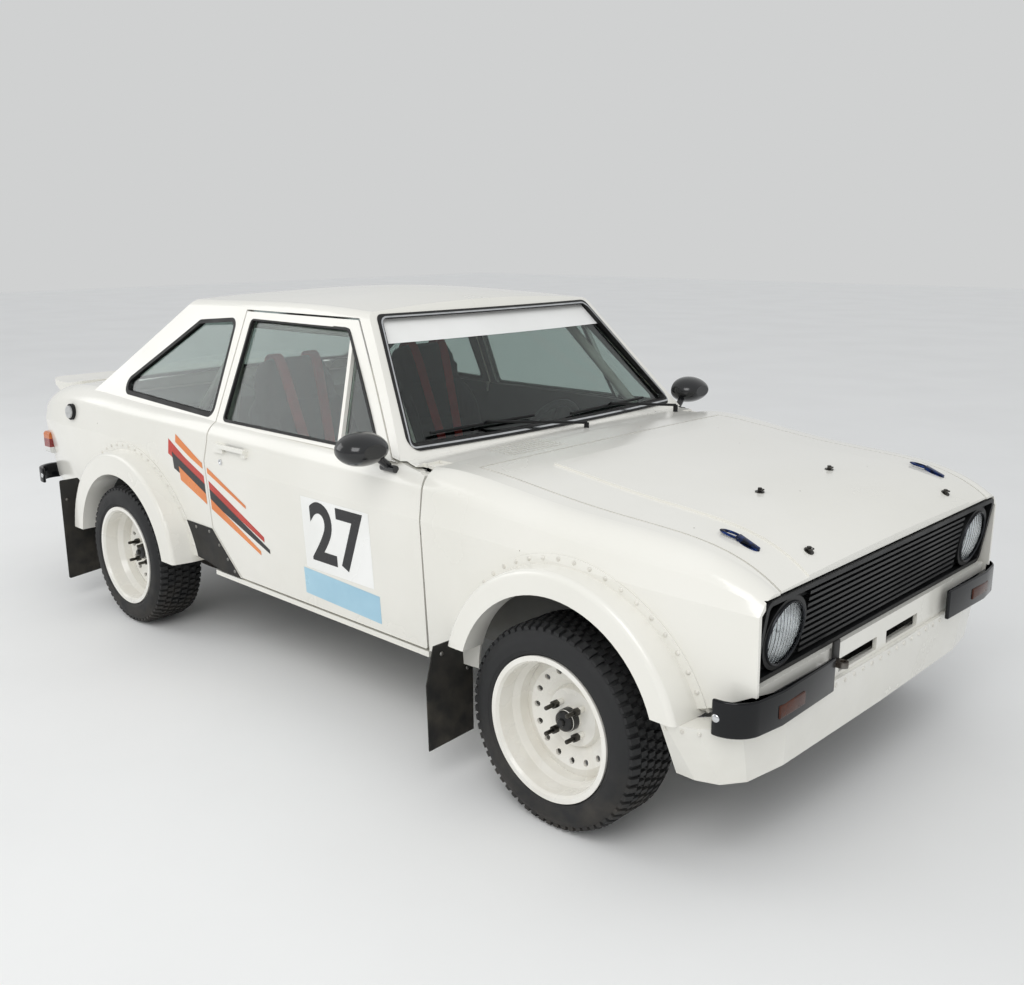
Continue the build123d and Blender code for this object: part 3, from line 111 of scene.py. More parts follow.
def cover(material, factor, code, rough):
    """Lay a dull colour over a finish wherever factor rises to 1."""
    tree = material.node_tree
    shader = tree.nodes["Principled BSDF"]
    for socket, kind, slots, value in (("Base Color", "RGBA", (6, 7, 2), shade(code)),
                                       ("Roughness", "FLOAT", (2, 3, 0), rough)):
        under = shader.inputs[socket].links[0].from_socket
        mixed = add_node(tree, "ShaderNodeMix", {"data_type": kind}, {slots[1]: value},
                         {0: factor, slots[0]: under})
        tree.links.new(mixed.outputs[slots[2]], shader.inputs[socket])


def low_dust(material, top, most, code):
    """Dust that thins out toward a height in metres, broken up by a noise of about 60 mm."""
    tree = material.node_tree
    near = add_node(tree, "ShaderNodeMapRange", None,
                    {"From Min": 0.12, "From Max": top, "To Min": most, "To Max": 0.0},
                    {"Value": split(tree)["Z"]}).outputs["Result"]
    cloud = add_node(tree, "ShaderNodeTexNoise", None, {"Scale": 16.0, "Detail": 8.0},
                     {"Vector": coords(tree)}).outputs["Fac"]
    broken = add_node(tree, "ShaderNodeMapRange", None, {"From Min": 0.35, "From Max": 0.7},
                      {"Value": cloud}).outputs["Result"]
    cover(material, maths(tree, "MULTIPLY", near, broken), code, 0.8)


def dress(names, material):
    """Give CAD nodes one material all over."""
    for name in names:
        slots = nodes[name].data.materials
        slots.clear()
        slots.append(material)


def stone_chips(material, spacing, size, code):
    """Small dark chips through a finish, their spacing and size in metres."""
    tree = material.node_tree
    cells = add_node(tree, "ShaderNodeTexVoronoi", None, {"Scale": 1 / spacing},
                     {"Vector": coords(tree)}).outputs["Distance"]
    cover(material, maths(tree, "LESS_THAN", cells, size / 2 / spacing), code, 0.7)


def cabin_painted_shade(material, code):
    """Painted shade: dark grey on the faces of a body panel that look inward or down from the
    roof.
    """
    tree = material.node_tree
    place, face = split(tree), split(tree, "Normal")
    inward = maths(tree, "LESS_THAN", maths(tree, "MULTIPLY", place["Y"], face["Y"]), -0.12)
    roof_underside = maths(tree, "MULTIPLY", maths(tree, "LESS_THAN", face["Z"], -0.5),
                       maths(tree, "GREATER_THAN", place["Z"], 1.2))
    amount = maths(tree, "MAXIMUM", inward, roof_underside)
    for limit in (maths(tree, "GREATER_THAN", place["X"], -1.4),
                  maths(tree, "LESS_THAN", place["X"], 0.8)):
        amount = maths(tree, "MULTIPLY", amount, limit)
    cover(material, amount, code, 0.6)


enamel = finish("off_white_body_enamel", "#ECEAE2", "#E7E5DC", 0.2, 0.55, 0.0016, 0.00001,
                Coat_Weight=0.35, Coat_Roughness=0.12)
low_dust(enamel, 0.5, 0.16, "#ADA492")
stone_chips(enamel, 0.11, 0.005, "#8A857A")
# Painted shade: the inner faces of the shell and the underside of the roof are darkened to dark
# grey.
cabin_painted_shade(enamel, "#3B3D3F")
dress(["body_sides", "roof_panel", "door_left", "door_right", "front_wings", "bonnet", "boot_lid",
       "boot_spoiler", "scuttle", "front_panel", "front_spoiler", "arch_flares", "rear_panel"],
      enamel)

# Floor, tunnel, bulkheads and inner wings: the same shell, seen inside the cabin, the engine
# bay and from below, where the enamel is thin and matt over seam sealer and road grime. The
# strip of deck before the boot lid shows outside and is in the body's full enamel.
shell_paint = finish("matt_shell_paint", "#6F6F6B", "#5F5F5B", 0.55, 0.25, 0.004, 0.00015)
low_dust(shell_paint, 0.5, 0.6, "#6E665A")
shell_tree = shell_paint.node_tree
shell_place = split(shell_tree)
rear_deck = maths(shell_tree, "MULTIPLY",
                  maths(shell_tree, "GREATER_THAN", shell_place["Z"], 0.93),
                  maths(shell_tree, "LESS_THAN", shell_place["X"], -1.3))
cover(shell_paint, rear_deck, "#ECEAE2", 0.2)
dress(["floor_pan"], shell_paint)

# Roll cage: cold-drawn steel tube, bent, welded in place and bolted to plates on the floor. It
# is brushed with grey-white enamel.
cage_paint = finish("brushed_on_cage_enamel", "#E4E2DA", "#CFCCC2", 0.4, 0.12, 0.003, 0.00008)
dress(["roll_cage"], cage_paint)

# Grille, bumpers, dashboard and mirror shells: black ABS and vinyl, moulded with a fine
# leather-like grain of about 1 mm and faded slightly grey.
black_plastic = finish("grained_black_plastic", "#0D0E0F", "#141516", 0.45, 0.2, 0.0011, 0.00006,
                       Specular_IOR_Level=0.3)
low_dust(black_plastic, 0.55, 0.12, "#8B8374")
dress(["grille", "dashboard", "hand_levers", "wipers"], black_plastic)
gloss_black = finish("gloss_black_moulding", "#0E0F11", "#17181B", 0.2, 0.15, 0.002, 0.00002,
                     Coat_Weight=0.4, Coat_Roughness=0.1)
dress(["mirror_left", "mirror_right", "quarter_bumpers"], gloss_black)

# Screen seals and splash guards: black extruded EPDM pressed over the window flanges, and
# sheet rubber bolted behind the wheels and on the sills, all matt and dusty.
seal_rubber = finish("black_seal_rubber", "#131313", "#1D1D1C", 0.6, 0.08, 0.0015, 0.00005)
dress(["window_seals"], seal_rubber)
flap_rubber = finish("sheet_rubber", "#161616", "#24231F", 0.7, 0.1, 0.003, 0.0002)
low_dust(flap_rubber, 0.6, 0.22, "#7D7465")
dress(["splash_guards"], flap_rubber)

# Axles, knuckles, springs and radiator: forged and welded steel in chipped black chassis
# paint, bolted up under the shell.
chassis_paint = finish("chassis_black_paint", "#1C1C1D", "#2B2926", 0.5, 0.08, 0.004, 0.0003)
low_dust(chassis_paint, 0.55, 0.8, "#6F6658")
dress(["rear_axle", "front_suspension", "knuckle_left", "knuckle_right", "radiator"],
      chassis_paint)

# Engine and gearbox: sand-cast iron and aluminium, oily and grey, bolted together and held by
# the front crossmember.
cast_iron = finish("sand_cast_iron", "#4A4B4C", "#333331", 0.5, 0.09, 0.003, 0.0005,
                   Metallic=0.6)
dress(["engine_and_gearbox"], cast_iron)

# Rods, exhaust, towing eyes and tank: mild steel, drawn, bent or pressed and welded, dull and
# lightly rusted by the road.
dull_steel = finish("weathered_mild_steel", "#7C7A76", "#5B5049", 0.42, 0.05, 0.002, 0.0002,
                    Metallic=1.0)
low_dust(dull_steel, 0.5, 0.5, "#6B5E50")
dress(["tie_rods", "exhaust", "fuel_tank", "tow_eyes"], dull_steel)

# Fuel cap: a turned aluminium cap, satin grey, screwed on to its neck over a black rubber
# gasket that shows round its edge.
cap_alloy = finish("satin_aluminium_cap", "#C3C4C3", "#B2B3B2", 0.38, 0.02, 0.0008, 0.00003,
                   Metallic=0.3)
CAP_MIDDLE = (-1.508, -0.79, 0.852)
CAP_TOP_R = 0.0285
cap_tree = cap_alloy.node_tree
cap_reach = add_node(cap_tree, "ShaderNodeVectorMath", {"operation": "DISTANCE"},
                     {1: CAP_MIDDLE}, {0: coords(cap_tree)}).outputs["Value"]
cover(cap_alloy, maths(cap_tree, "GREATER_THAN", cap_reach, CAP_TOP_R), "#151515", 0.6)
dress(["fuel_cap"], cap_alloy)


# Windows: clear laminated and toughened glass, 5 mm thick, bowed and set in rubber. A faint
# green tint is all that shows of it.
def glass_finish(name, tint, rough):
    """Clear glass with a faint tint."""
    made = finish(name, tint, tint, rough, 0.3, 0.02, 0.00001, IOR=1.45, Transmission_Weight=1.0)
    polish = made.node_tree.nodes["Principled BSDF"].inputs["Roughness"]
    made.node_tree.links.remove(polish.links[0])
    polish.default_value = rough
    return made


window_glass = glass_finish("clear_window_glass", "#C4D0CC", 0.01)
dress(["body_glass", "door_glass_left", "door_glass_right"], window_glass)


# Sun strip: white vinyl film stuck across the head of the windscreen, inside its seal.
# It follows the bow of the screen 1 mm off the glass.
def pick(pieces):
    """Select just these pieces, with the first of them active."""
    bpy.ops.object.select_all(action="DESELECT")
    for piece in pieces:
        piece.select_set(True)
    bpy.context.view_layer.objects.active = pieces[0]


def set_places():
    """Put the place, turn and scale of the picked pieces in their meshes."""
    bpy.ops.object.transform_apply(location=True, rotation=True, scale=True)


def settle(obj, name, material, body, angle=35):
    """Name a finished piece, put its place in its mesh, give it its finish and a body to ride."""
    pick([obj])
    for modifier in list(obj.modifiers):
        bpy.ops.object.modifier_apply(modifier=modifier.name)
    set_places()
    obj.name = name
    obj.data.name = name
    obj.data.materials.clear()
    obj.data.materials.append(material)
    if angle:
        bpy.ops.object.shade_smooth_by_angle(angle=math.radians(angle))
    obj.select_set(False)
    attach(obj, body)
    return obj


SCREEN_FOOT = Vector((0.755, 0, 0.942))
SCREEN_SLOPE = Vector((-0.377, 0, 0.430)).normalized()
SCREEN_OUT = Vector((SCREEN_SLOPE.z, 0, -SCREEN_SLOPE.x))
SCREEN_BOW_R = 7.9


def on_screen(y, z, sink):
    """Point of the bowed windscreen at a width and a height, sunk below its outer surface."""
    depth = sink + y * y / (2 * SCREEN_BOW_R)
    run = (z - SCREEN_FOOT.z + SCREEN_OUT.z * depth) / SCREEN_SLOPE.z
    point = SCREEN_FOOT + SCREEN_SLOPE * run - SCREEN_OUT * depth
    return Vector((point.x, y, point.z))


vinyl = finish("white_vinyl_film", "#F1F1EE", "#EAEAE6", 0.35, 0.3, 0.002, 0.00001)
bpy.ops.mesh.primitive_grid_add(x_subdivisions=24, y_subdivisions=4, size=2)
strip = bpy.context.object
STRIP_LOW, STRIP_TOP, STRIP_MARGIN, STRIP_SINK = 1.262, 1.338, 0.021, 0.0130
SCREEN_LOW, SCREEN_HEIGHT, SCREEN_HALF, SCREEN_TAPER = 0.955, 0.401, 0.694, 0.158
for vertex in strip.data.vertices:
    z = STRIP_LOW + (STRIP_TOP - STRIP_LOW) * (vertex.co.y + 1) / 2
    half = SCREEN_HALF - SCREEN_TAPER * (z - SCREEN_LOW) / SCREEN_HEIGHT - STRIP_MARGIN
    vertex.co = on_screen(half * vertex.co.x, z, STRIP_SINK)
settle(strip, "sun_strip", vinyl, "body", 0)

# Windscreen trim: a bright strip of rolled stainless steel 5 mm wide, pressed into the
# rubber all round the screen. It gives the seal its silver line.
stainless = finish("rolled_stainless_steel", "#D5D7D9", "#C4C6C9", 0.2, 0.06, 0.001, 0.00001,
                   Metallic=1.0)
TRIM_CORNERS = [(0, -0.6855, 0.9625), (0, 0.6855, 0.9625),
                (0, -0.5300, 1.3485), (0, 0.5300, 1.3485)]


def edit(*steps):
    """Run mesh steps in edit mode on the whole of the active piece."""
    bpy.ops.object.mode_set(mode="EDIT")
    for step in steps:
        bpy.ops.mesh.select_all(action="SELECT")
        step()
    bpy.ops.object.mode_set(mode="OBJECT")


def window_ring(corners, radius, segments, width, cuts):
    """Flat ring round a window, its corners rounded, from corners in a plane's own order."""
    bpy.ops.mesh.primitive_plane_add(size=1)
    made = bpy.context.object
    for vertex, corner in zip(made.data.vertices, corners):
        vertex.co = corner

    def clear_middle():
        bpy.ops.mesh.inset(thickness=width)
        bpy.ops.mesh.delete(type="FACE")

    edit(lambda: bpy.ops.mesh.bevel(offset=radius, segments=segments, affect="VERTICES"),
         clear_middle, lambda: bpy.ops.mesh.subdivide(number_cuts=cuts))
    return made


def thicken(obj, depth):
    """Give a sheet its depth, half to each side."""
    wall = obj.modifiers.new("sheet_depth", "SOLIDIFY")
    wall.thickness = depth
    wall.offset = 0


screen_trim = window_ring(TRIM_CORNERS, 0.024, 5, 0.005, 7)
for vertex in screen_trim.data.vertices:
    vertex.co = on_screen(vertex.co.y, vertex.co.z, -0.0046)
thicken(screen_trim, 0.0014)
settle(screen_trim, "windscreen_trim", stainless, "body", 30)


# Wheels: 15 inch pressed steel rims in white enamel, with a deep step to a disc that has
# sixteen vent holes. Brake dust darkens the lower part of each rim.
rim_enamel = finish("white_wheel_enamel", "#EEECE5", "#E8E5DC", 0.25, 0.12, 0.002, 0.00003,
                    Coat_Weight=0.4)
low_dust(rim_enamel, 0.5, 0.1, "#A89E8C")
dress(["rim_front_left", "rim_front_right", "rim_rear_left", "rim_rear_right"], rim_enamel)

# Tyres: gravel tyres in matt black rubber. Square blocks in six rows stand 9 mm proud of
# the belt, the outer row wrapping over the shoulder.
tread_rubber = finish("gravel_tyre_rubber", "#1B1C1D", "#232324", 0.7, 0.06, 0.0018, 0.0001)
low_dust(tread_rubber, 0.3, 0.16, "#7A7062")
TYRE_PROFILE = [(0.2100, -0.6460), (0.1980, -0.6565), (0.1980, -0.8120), (0.2100, -0.8220),
                (0.2140, -0.8290), (0.2220, -0.8310), (0.2240, -0.8335), (0.2420, -0.8340),
                (0.2600, -0.8320), (0.2620, -0.8300), (0.2760, -0.8240), (0.2840, -0.8130),
                (0.2870, -0.7950), (0.2880, -0.7310), (0.2870, -0.6670), (0.2840, -0.6490),
                (0.2760, -0.6380), (0.2620, -0.6320), (0.2420, -0.6285), (0.2220, -0.6310),
                (0.2140, -0.6330)]
WHEEL_PLACES = [("front_right", 1.4035, 1), ("front_left", 1.4035, -1),
                ("rear_right", -1.0035, 1), ("rear_left", -1.0035, -1)]
AXLE_Z = 0.297
WHEEL_Y = -0.731


def turned(points, steps, closed):
    """Profile of (radius, y) points spun round the wheel's axis at the origin."""
    bpy.ops.mesh.primitive_plane_add(size=0.01)
    made = bpy.context.object
    bpy.ops.object.mode_set(mode="EDIT")
    bpy.ops.mesh.merge(type="CENTER")
    bpy.ops.transform.translate(value=(points[0][0], points[0][1], 0))
    trail = points[1:] + (points[:1] if closed else [])
    for before, after in zip(points, trail):
        bpy.ops.mesh.extrude_vertices_move(
            TRANSFORM_OT_translate={"value": (after[0] - before[0], after[1] - before[1], 0)})
    bpy.ops.mesh.select_all(action="SELECT")
    bpy.ops.mesh.spin(steps=steps, angle=2 * math.pi, center=(0, 0, 0), axis=(0, 1, 0))
    bpy.ops.mesh.select_all(action="SELECT")
    bpy.ops.mesh.remove_doubles(threshold=0.00005)
    bpy.ops.mesh.normals_make_consistent(inside=False)
    bpy.ops.object.mode_set(mode="OBJECT")
    return made


def twin(source, move, side):
    """Copy of a right-hand piece with its own mesh, moved and mirrored for the left side."""
    pick([source])
    bpy.ops.object.duplicate(linked=False)
    made = bpy.context.object
    for vertex in made.data.vertices:
        vertex.co = Vector((vertex.co.x, vertex.co.y * side, vertex.co.z)) + Vector(move)
    if side < 0:
        made.data.flip_normals()
    return made


def block(place, size):
    """Box of a size with its middle at a place."""
    bpy.ops.mesh.primitive_cube_add(size=1, location=place)
    made = bpy.context.object
    made.scale = size
    set_places()
    return made


def joined(pieces):
    """Join pieces with their places applied and return the one piece."""
    pick(pieces)
    bpy.ops.object.join()
    set_places()
    return pieces[0]


carcass = turned(TYRE_PROFILE, 72, True)
# Tread block rows. Columns: y of the block's middle, width, length, turn round the tyre.
BLOCK_ROWS = [(-0.8090, 0.026, 0.019, 0.0), (-0.7800, 0.023, 0.017, 0.5),
              (-0.7480, 0.025, 0.017, 0.0), (-0.7140, 0.025, 0.017, 0.5),
              (-0.6820, 0.023, 0.017, 0.0), (-0.6530, 0.026, 0.019, 0.5)]
BLOCK_COUNT = 64
BLOCK_R, BLOCK_HEIGHT, BLOCK_TAPER = 0.2895, 0.0145, 0.86
blocks = [carcass]
for y, width, length, turn in BLOCK_ROWS:
    first = block((0, y, BLOCK_R), (length, width, BLOCK_HEIGHT))
    edge_y = max((v.co.y for v in first.data.vertices), key=lambda v: abs(v - WHEEL_Y))
    drop = 0.0085 if abs(y - WHEEL_Y) > 0.07 else 0.0012
    for vertex in first.data.vertices:
        if abs(vertex.co.y - edge_y) < 0.001:
            vertex.co.z -= drop
        if vertex.co.z > BLOCK_R - 0.0015:
            vertex.co.x *= BLOCK_TAPER
    for place in range(BLOCK_COUNT):
        pick([first])
        bpy.ops.object.duplicate(linked=False)
        bpy.context.object.rotation_euler = (0, 2 * math.pi * (place + turn) / BLOCK_COUNT, 0)
        blocks.append(bpy.context.object)
    bpy.data.objects.remove(first)
carcass = joined(blocks)
for place, x, side in WHEEL_PLACES:
    tyre = twin(carcass, (x, 0, AXLE_Z), side)
    settle(tyre, f"gravel_tyre_{place}", tread_rubber, f"wheel_{place}", 40)
    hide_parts(f"tyre_{place}")
bpy.data.objects.remove(carcass)

# Wheel centres: a black pressed cap over the bearing with its nut, and four long wheel
# studs with hexagon nuts, all in oily steel.
stud_steel = finish("oily_steel", "#55534F", "#3A3835", 0.38, 0.03, 0.001, 0.00005, Metallic=1.0)
cap_paint = finish("black_cap_paint", "#141414", "#1E1D1C", 0.35, 0.04, 0.001, 0.00005)


def cylinder(corners, radius, depth, place=(0, 0, 0), turn=(0, 0, 0)):
    """Cylinder along z at a place, then turned by three angles in radians."""
    bpy.ops.mesh.primitive_cylinder_add(vertices=corners, radius=radius, depth=depth,
                                        location=place, rotation=turn)
    return bpy.context.object


def bevelled(obj, width, segments, **limits):
    """Roll a piece's sharp edges over."""
    roll = obj.modifiers.new("rolled_edge", "BEVEL")
    roll.width = width
    roll.segments = segments
    for key, value in limits.items():
        setattr(roll, key, value)


# Nut and stud. Columns: vertices, radius, length, y of the middle, bevel.
NUT_AND_STUD = [(6, 0.0125, 0.018, -0.752, 0.0015), (16, 0.0062, 0.040, -0.772, 0.002)]
hardware = []
for corners, radius, depth, y, edge in NUT_AND_STUD:
    hardware.append(cylinder(corners, radius, depth, (0, y, 0), (math.pi / 2, 0, 0)))
    set_places()
    bevelled(hardware[-1], edge, 2)
    bpy.ops.object.modifier_apply(modifier="rolled_edge")
nut = joined(hardware)
STUD_CIRCLE_R = 0.054
fixings = []
for quarter in range(4):
    angle = math.pi / 4 + quarter * math.pi / 2
    fixings.append(twin(nut, (STUD_CIRCLE_R * math.cos(angle), 0,
                              STUD_CIRCLE_R * math.sin(angle)), 1))
bpy.data.objects.remove(nut)
nuts = joined(fixings)
cap = turned([(0.0, -0.7760), (0.0090, -0.7760), (0.0110, -0.7745), (0.0120, -0.7665),
              (0.0215, -0.7650), (0.0290, -0.7600), (0.0310, -0.7530), (0.0335, -0.7500),
              (0.0335, -0.7230), (0.0, -0.7230)], 36, False)
for place, x, side in WHEEL_PLACES:
    settle(twin(nuts, (x, 0, AXLE_Z), side), f"wheel_nuts_{place}", stud_steel, f"wheel_{place}")
    settle(twin(cap, (x, 0, AXLE_Z), side), f"hub_cap_{place}", cap_paint, f"wheel_{place}")
bpy.data.objects.remove(nuts)
bpy.data.objects.remove(cap)

# Headlamps: a vacuum-silvered bowl behind a domed glass lens with vertical flutes 14 mm
# apart, held by a thin dark ring in the grille.
silvering = finish("silvered_reflector", "#E2E4E5", "#D3D5D7", 0.3, 0.05, 0.004, 0.00003,
                   Metallic=1.0)
ring_black = finish("black_lamp_ring", "#26272A", "#303236", 0.3, 0.05, 0.001, 0.00002,
                    Metallic=0.7)
chrome = finish("bright_chrome", "#DCDDDE", "#CFD0D2", 0.12, 0.08, 0.003, 0.00001, Metallic=1.0)
lens_glass = glass_finish("pressed_lens_glass", "#F2F5F6", 0.05)
LAMP_LEAN = math.atan2(0.034, 0.223)
LAMP_PLACE = (1.971, 0.587, 0.6595)
SIDES = (("right", -1), ("left", 1))


def relief(material, pattern, outlet, settings, inputs, height):
    """Bump a finish by a drawn pattern in place of its fine grain, its height in metres."""
    tree = material.node_tree
    drawn = add_node(tree, pattern, settings, inputs, {"Vector": coords(tree)}).outputs[outlet]
    bump = add_node(tree, "ShaderNodeBump", None, {"Distance": height}, {"Height": drawn})
    tree.links.new(bump.outputs["Normal"], tree.nodes["Principled BSDF"].inputs["Normal"])


relief(lens_glass, "ShaderNodeTexWave", "Fac", {"bands_direction": "Y"},
       {"Scale": 22.4, "Distortion": 0.3}, 0.001)


def facing(obj, place, lean, side):
    """Turn a piece spun about y so that it faces forward, leans, and sits at its place."""
    turn = Euler((0, lean, 0)).to_matrix() @ Euler((0, 0, math.pi / 2)).to_matrix()
    for vertex in obj.data.vertices:
        point = turn @ vertex.co
        vertex.co = (point.x + place[0], point.y + place[1] * side, point.z + place[2])


bowl_profile = [(0.0, 0.055), (0.030, 0.050), (0.060, 0.030), (0.080, 0.006), (0.0835, 0.006),
                (0.0835, 0.009), (0.078, 0.012), (0.058, 0.036), (0.028, 0.056), (0.0, 0.060)]
lens_profile = [(0.0, -0.0085), (0.030, -0.0070), (0.055, -0.0035), (0.075, 0.0015),
                (0.0830, 0.0050), (0.0830, 0.0075), (0.0740, 0.0050), (0.054, 0.0),
                (0.029, -0.0035), (0.0, -0.0050)]
ring_profile = [(0.0865, 0.010), (0.0865, -0.003), (0.0845, -0.0055), (0.0815, -0.003),
                (0.0815, 0.001), (0.0837, 0.003), (0.0837, 0.010)]
bulb_profile = [(0.0, 0.018), (0.006, 0.020), (0.009, 0.028), (0.009, 0.045), (0.014, 0.047),
                (0.014, 0.056), (0.0, 0.056)]
for word, side in SIDES:
    for part_name, profile, material, closed in (
            ("headlamp_bowl", bowl_profile, silvering, False),
            ("headlamp_lens", lens_profile, lens_glass, False),
            ("headlamp_ring", ring_profile, ring_black, True),
            ("headlamp_bulb", bulb_profile, lens_glass, False)):
        made = turned(profile, 48, closed)
        facing(made, LAMP_PLACE, LAMP_LEAN, side)
        edit(lambda: bpy.ops.mesh.normals_make_consistent(inside=False))
        settle(made, f"{part_name}_{word}", material, "body", 50)
    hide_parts("front_lamps")

# Rivets: domed aluminium pop rivets, thinly oversprayed, through the flange of each arch about
# 52 mm apart, and zinc bolts with the same head through the sill guards.
rivet_metal = finish("oversprayed_aluminium", "#E9E6DD", "#CFCCC3", 0.3, 0.015, 0.001, 0.00003,
                     Metallic=0.1)
FRONT_ARCH = (1.430, 0.335)
REAR_ARCH = (-0.9975, 0.297)
RIVET_R = 0.0068
RIVET_PITCH = 0.052


def head(segments, radius, axis, share):
    """Domed head at the origin, flattened to a share of its radius along x (0) or y (1)."""
    bpy.ops.mesh.primitive_uv_sphere_add(segments=segments, ring_count=8, radius=radius)
    for vertex in bpy.context.object.data.vertices:
        vertex.co[axis] *= share
    return bpy.context.object


def surface_y(name, x, z, side):
    """Outermost y of a CAD node at a place in side view, or None."""
    hit, point = nodes[name].ray_cast(Vector((x, side * 1.2, z)), Vector((0, -side, 0)))[:2]
    return point.y if hit else None


def scattered(source, points, name, material, body):
    """Copies of one small piece at many points, joined as one."""
    settle(joined([twin(source, point, 1) for point in points]), name, material, body)


dome = head(12, RIVET_R, 1, 0.55)
rivet_points = []
for side in (-1, 1):
    for centre, radius, first, last in ((FRONT_ARCH, 0.440, 17, 163), (REAR_ARCH, 0.470, 9, 171)):
        count = int(math.radians(last - first) * radius / RIVET_PITCH)
        for step in range(count + 1):
            angle = math.radians(first + (last - first) * step / count)
            x = centre[0] + radius * math.cos(angle)
            z = centre[1] + radius * math.sin(angle)
            y = surface_y("arch_flares", x, z, side)
            if y is not None and abs(y) < 0.80:
                rivet_points.append((x, y, z))
scattered(dome, rivet_points, "arch_rivets", rivet_metal, "body")
guard_steel = finish("zinc_bolt", "#8D8C88", "#6E6B66", 0.4, 0.02, 0.001, 0.00003, Metallic=1.0)
GUARD_BOLTS = [(-0.70, 0.505), (-0.60, 0.505), (-0.50, 0.505), (-0.40, 0.505), (-0.335, 0.462),
               (-0.285, 0.415), (-0.245, 0.375), (-0.56, 0.375), (-0.48, 0.345)]
guard_points = []
for side in (-1, 1):
    for x, z in GUARD_BOLTS:
        y = surface_y("splash_guards", x, z, side)
        if y is not None:
            guard_points.append((x, y, z))
scattered(dome, guard_points, "guard_bolts", guard_steel, "body")
bpy.data.objects.remove(dome)

# Door numbers: a square of white vinyl with a black start number cut from the same film, and
# a pale blue sponsor strip left blank below it. All three lie on the door's skin.
number_black = finish("black_vinyl_film", "#141416", "#1C1C1F", 0.3, 0.2, 0.002, 0.00001)
strip_blue = finish("pale_blue_vinyl_film", "#A9CFE0", "#9CC4D8", 0.33, 0.2, 0.002, 0.00001)
number_white = finish("number_square_film", "#F6F6F3", "#EEEEEA", 0.3, 0.3, 0.002, 0.00001)


def film(obj, node, side, lift, name, material, body):
    """Lay a flat x-z piece on a CAD panel as stuck-on film, a little proud of it."""
    wrap = obj.modifiers.new("stuck_down", "SHRINKWRAP")
    wrap.target = nodes[node]
    wrap.wrap_method = "PROJECT"
    wrap.use_project_y = True
    wrap.use_negative_direction = side > 0
    wrap.use_positive_direction = side < 0
    wrap.offset = lift
    settle(obj, name, material, body, 0)


def flat_sheet(corners, side, cuts):
    """Flat sheet beside the car with the given (x, z) corners, cut fine enough to follow it."""
    bpy.ops.mesh.primitive_plane_add(size=1)
    made = bpy.context.object
    order = [corners[0], corners[1], corners[3], corners[2]]
    for vertex, (x, z) in zip(made.data.vertices, order):
        vertex.co = (x, side, z)
    edit(lambda: bpy.ops.mesh.subdivide(number_cuts=cuts))
    if side > 0:
        edit(bpy.ops.mesh.flip_normals)
    return made


SQUARE = [(0.235, 0.500), (0.600, 0.500), (0.600, 0.755), (0.235, 0.755)]
STRIP = [(0.215, 0.400), (0.625, 0.385), (0.625, 0.480), (0.215, 0.495)]
NUMBER_X, NUMBER_Z = 0.418, 0.628
for word, side in SIDES:
    door = f"door_{word}"
    film(flat_sheet(SQUARE, side, 14), door, side, 0.0004, f"number_square_{word}",
         number_white, door)
    film(flat_sheet(STRIP, side, 14), door, side, 0.0004, f"blank_strip_{word}", strip_blue, door)
    bpy.ops.object.text_add()
    text = bpy.context.object
    text.data.body = "27"
    text.data.align_x = "CENTER"
    text.data.align_y = "CENTER"
    text.data.size = 0.29
    text.data.offset = 0.006
    text.data.resolution_u = 6
    bpy.ops.object.convert(target="MESH")
    for vertex in text.data.vertices:
        vertex.co = (NUMBER_X - side * vertex.co.x, side, NUMBER_Z + vertex.co.y)
    edit(bpy.ops.mesh.quads_convert_to_tris, lambda: bpy.ops.mesh.subdivide(number_cuts=3))
    film(text, door, side, 0.0009, f"start_number_{word}", number_black, door)

# Side graphic: slanted bars of red, orange and dark vinyl film that run from the rear
# quarter on to the door, cut at the door gap. They are plain shapes of no maker.
film_red = finish("red_vinyl_film", "#C23A2C", "#B23327", 0.3, 0.2, 0.002, 0.00001)
film_orange = finish("orange_vinyl_film", "#E58A4A", "#DC7E40", 0.3, 0.2, 0.002, 0.00001)
# Bars. Columns: rear x and z, front x and z, height at the rear, height at the front, film.
BARS = [(-0.640, 0.812, -0.020, 0.545, 0.030, 0.010, film_red),
        (-0.610, 0.760, 0.010, 0.505, 0.034, 0.008, number_black),
        (-0.570, 0.712, -0.050, 0.488, 0.028, 0.008, film_orange),
        (-0.585, 0.850, -0.120, 0.650, 0.016, 0.006, film_orange)]
DOOR_GAP = (-0.392, -0.362)
for word, side in SIDES:
    for index, (x0, z0, x1, z1, h0, h1, material) in enumerate(BARS):
        lift = 0.0004 + 0.0002 * index
        for panel, start, end, body in (("body_sides", x0, DOOR_GAP[0], "body"),
                                        (f"door_{word}", DOOR_GAP[1], x1, f"door_{word}")):
            (xa, za, ha), (xb, zb, hb) = [
                (x, z0 + (z1 - z0) * (x - x0) / (x1 - x0), h0 + (h1 - h0) * (x - x0) / (x1 - x0))
                for x in (start, end)]
            bar = flat_sheet([(xa, za - ha), (xb, zb - hb), (xb, zb + hb), (xa, za + ha)],
                             side, 12)
            film(bar, panel, side, lift, f"bar_{index + 1}_{body}_{word}", material, body)

# Quarter bumpers: moulded in gloss black polyurethane, so their long edges are rolled over
# about 9 mm. They are skins of the CAD bumpers, bolted through each side end.
bumper_black = finish("gloss_black_polyurethane", "#060709", "#0B0D11", 0.15, 0.2, 0.004, 0.00001,
                      Specular_IOR_Level=0.35)
low_dust(bumper_black, 0.5, 0.04, "#6F685C")


def skin_of(source):
    """Picked copy of a CAD node, with its own mesh."""
    made = source.copy()
    made.data = source.data.copy()
    bpy.context.collection.objects.link(made)
    made.parent = None
    pick([made])
    return made


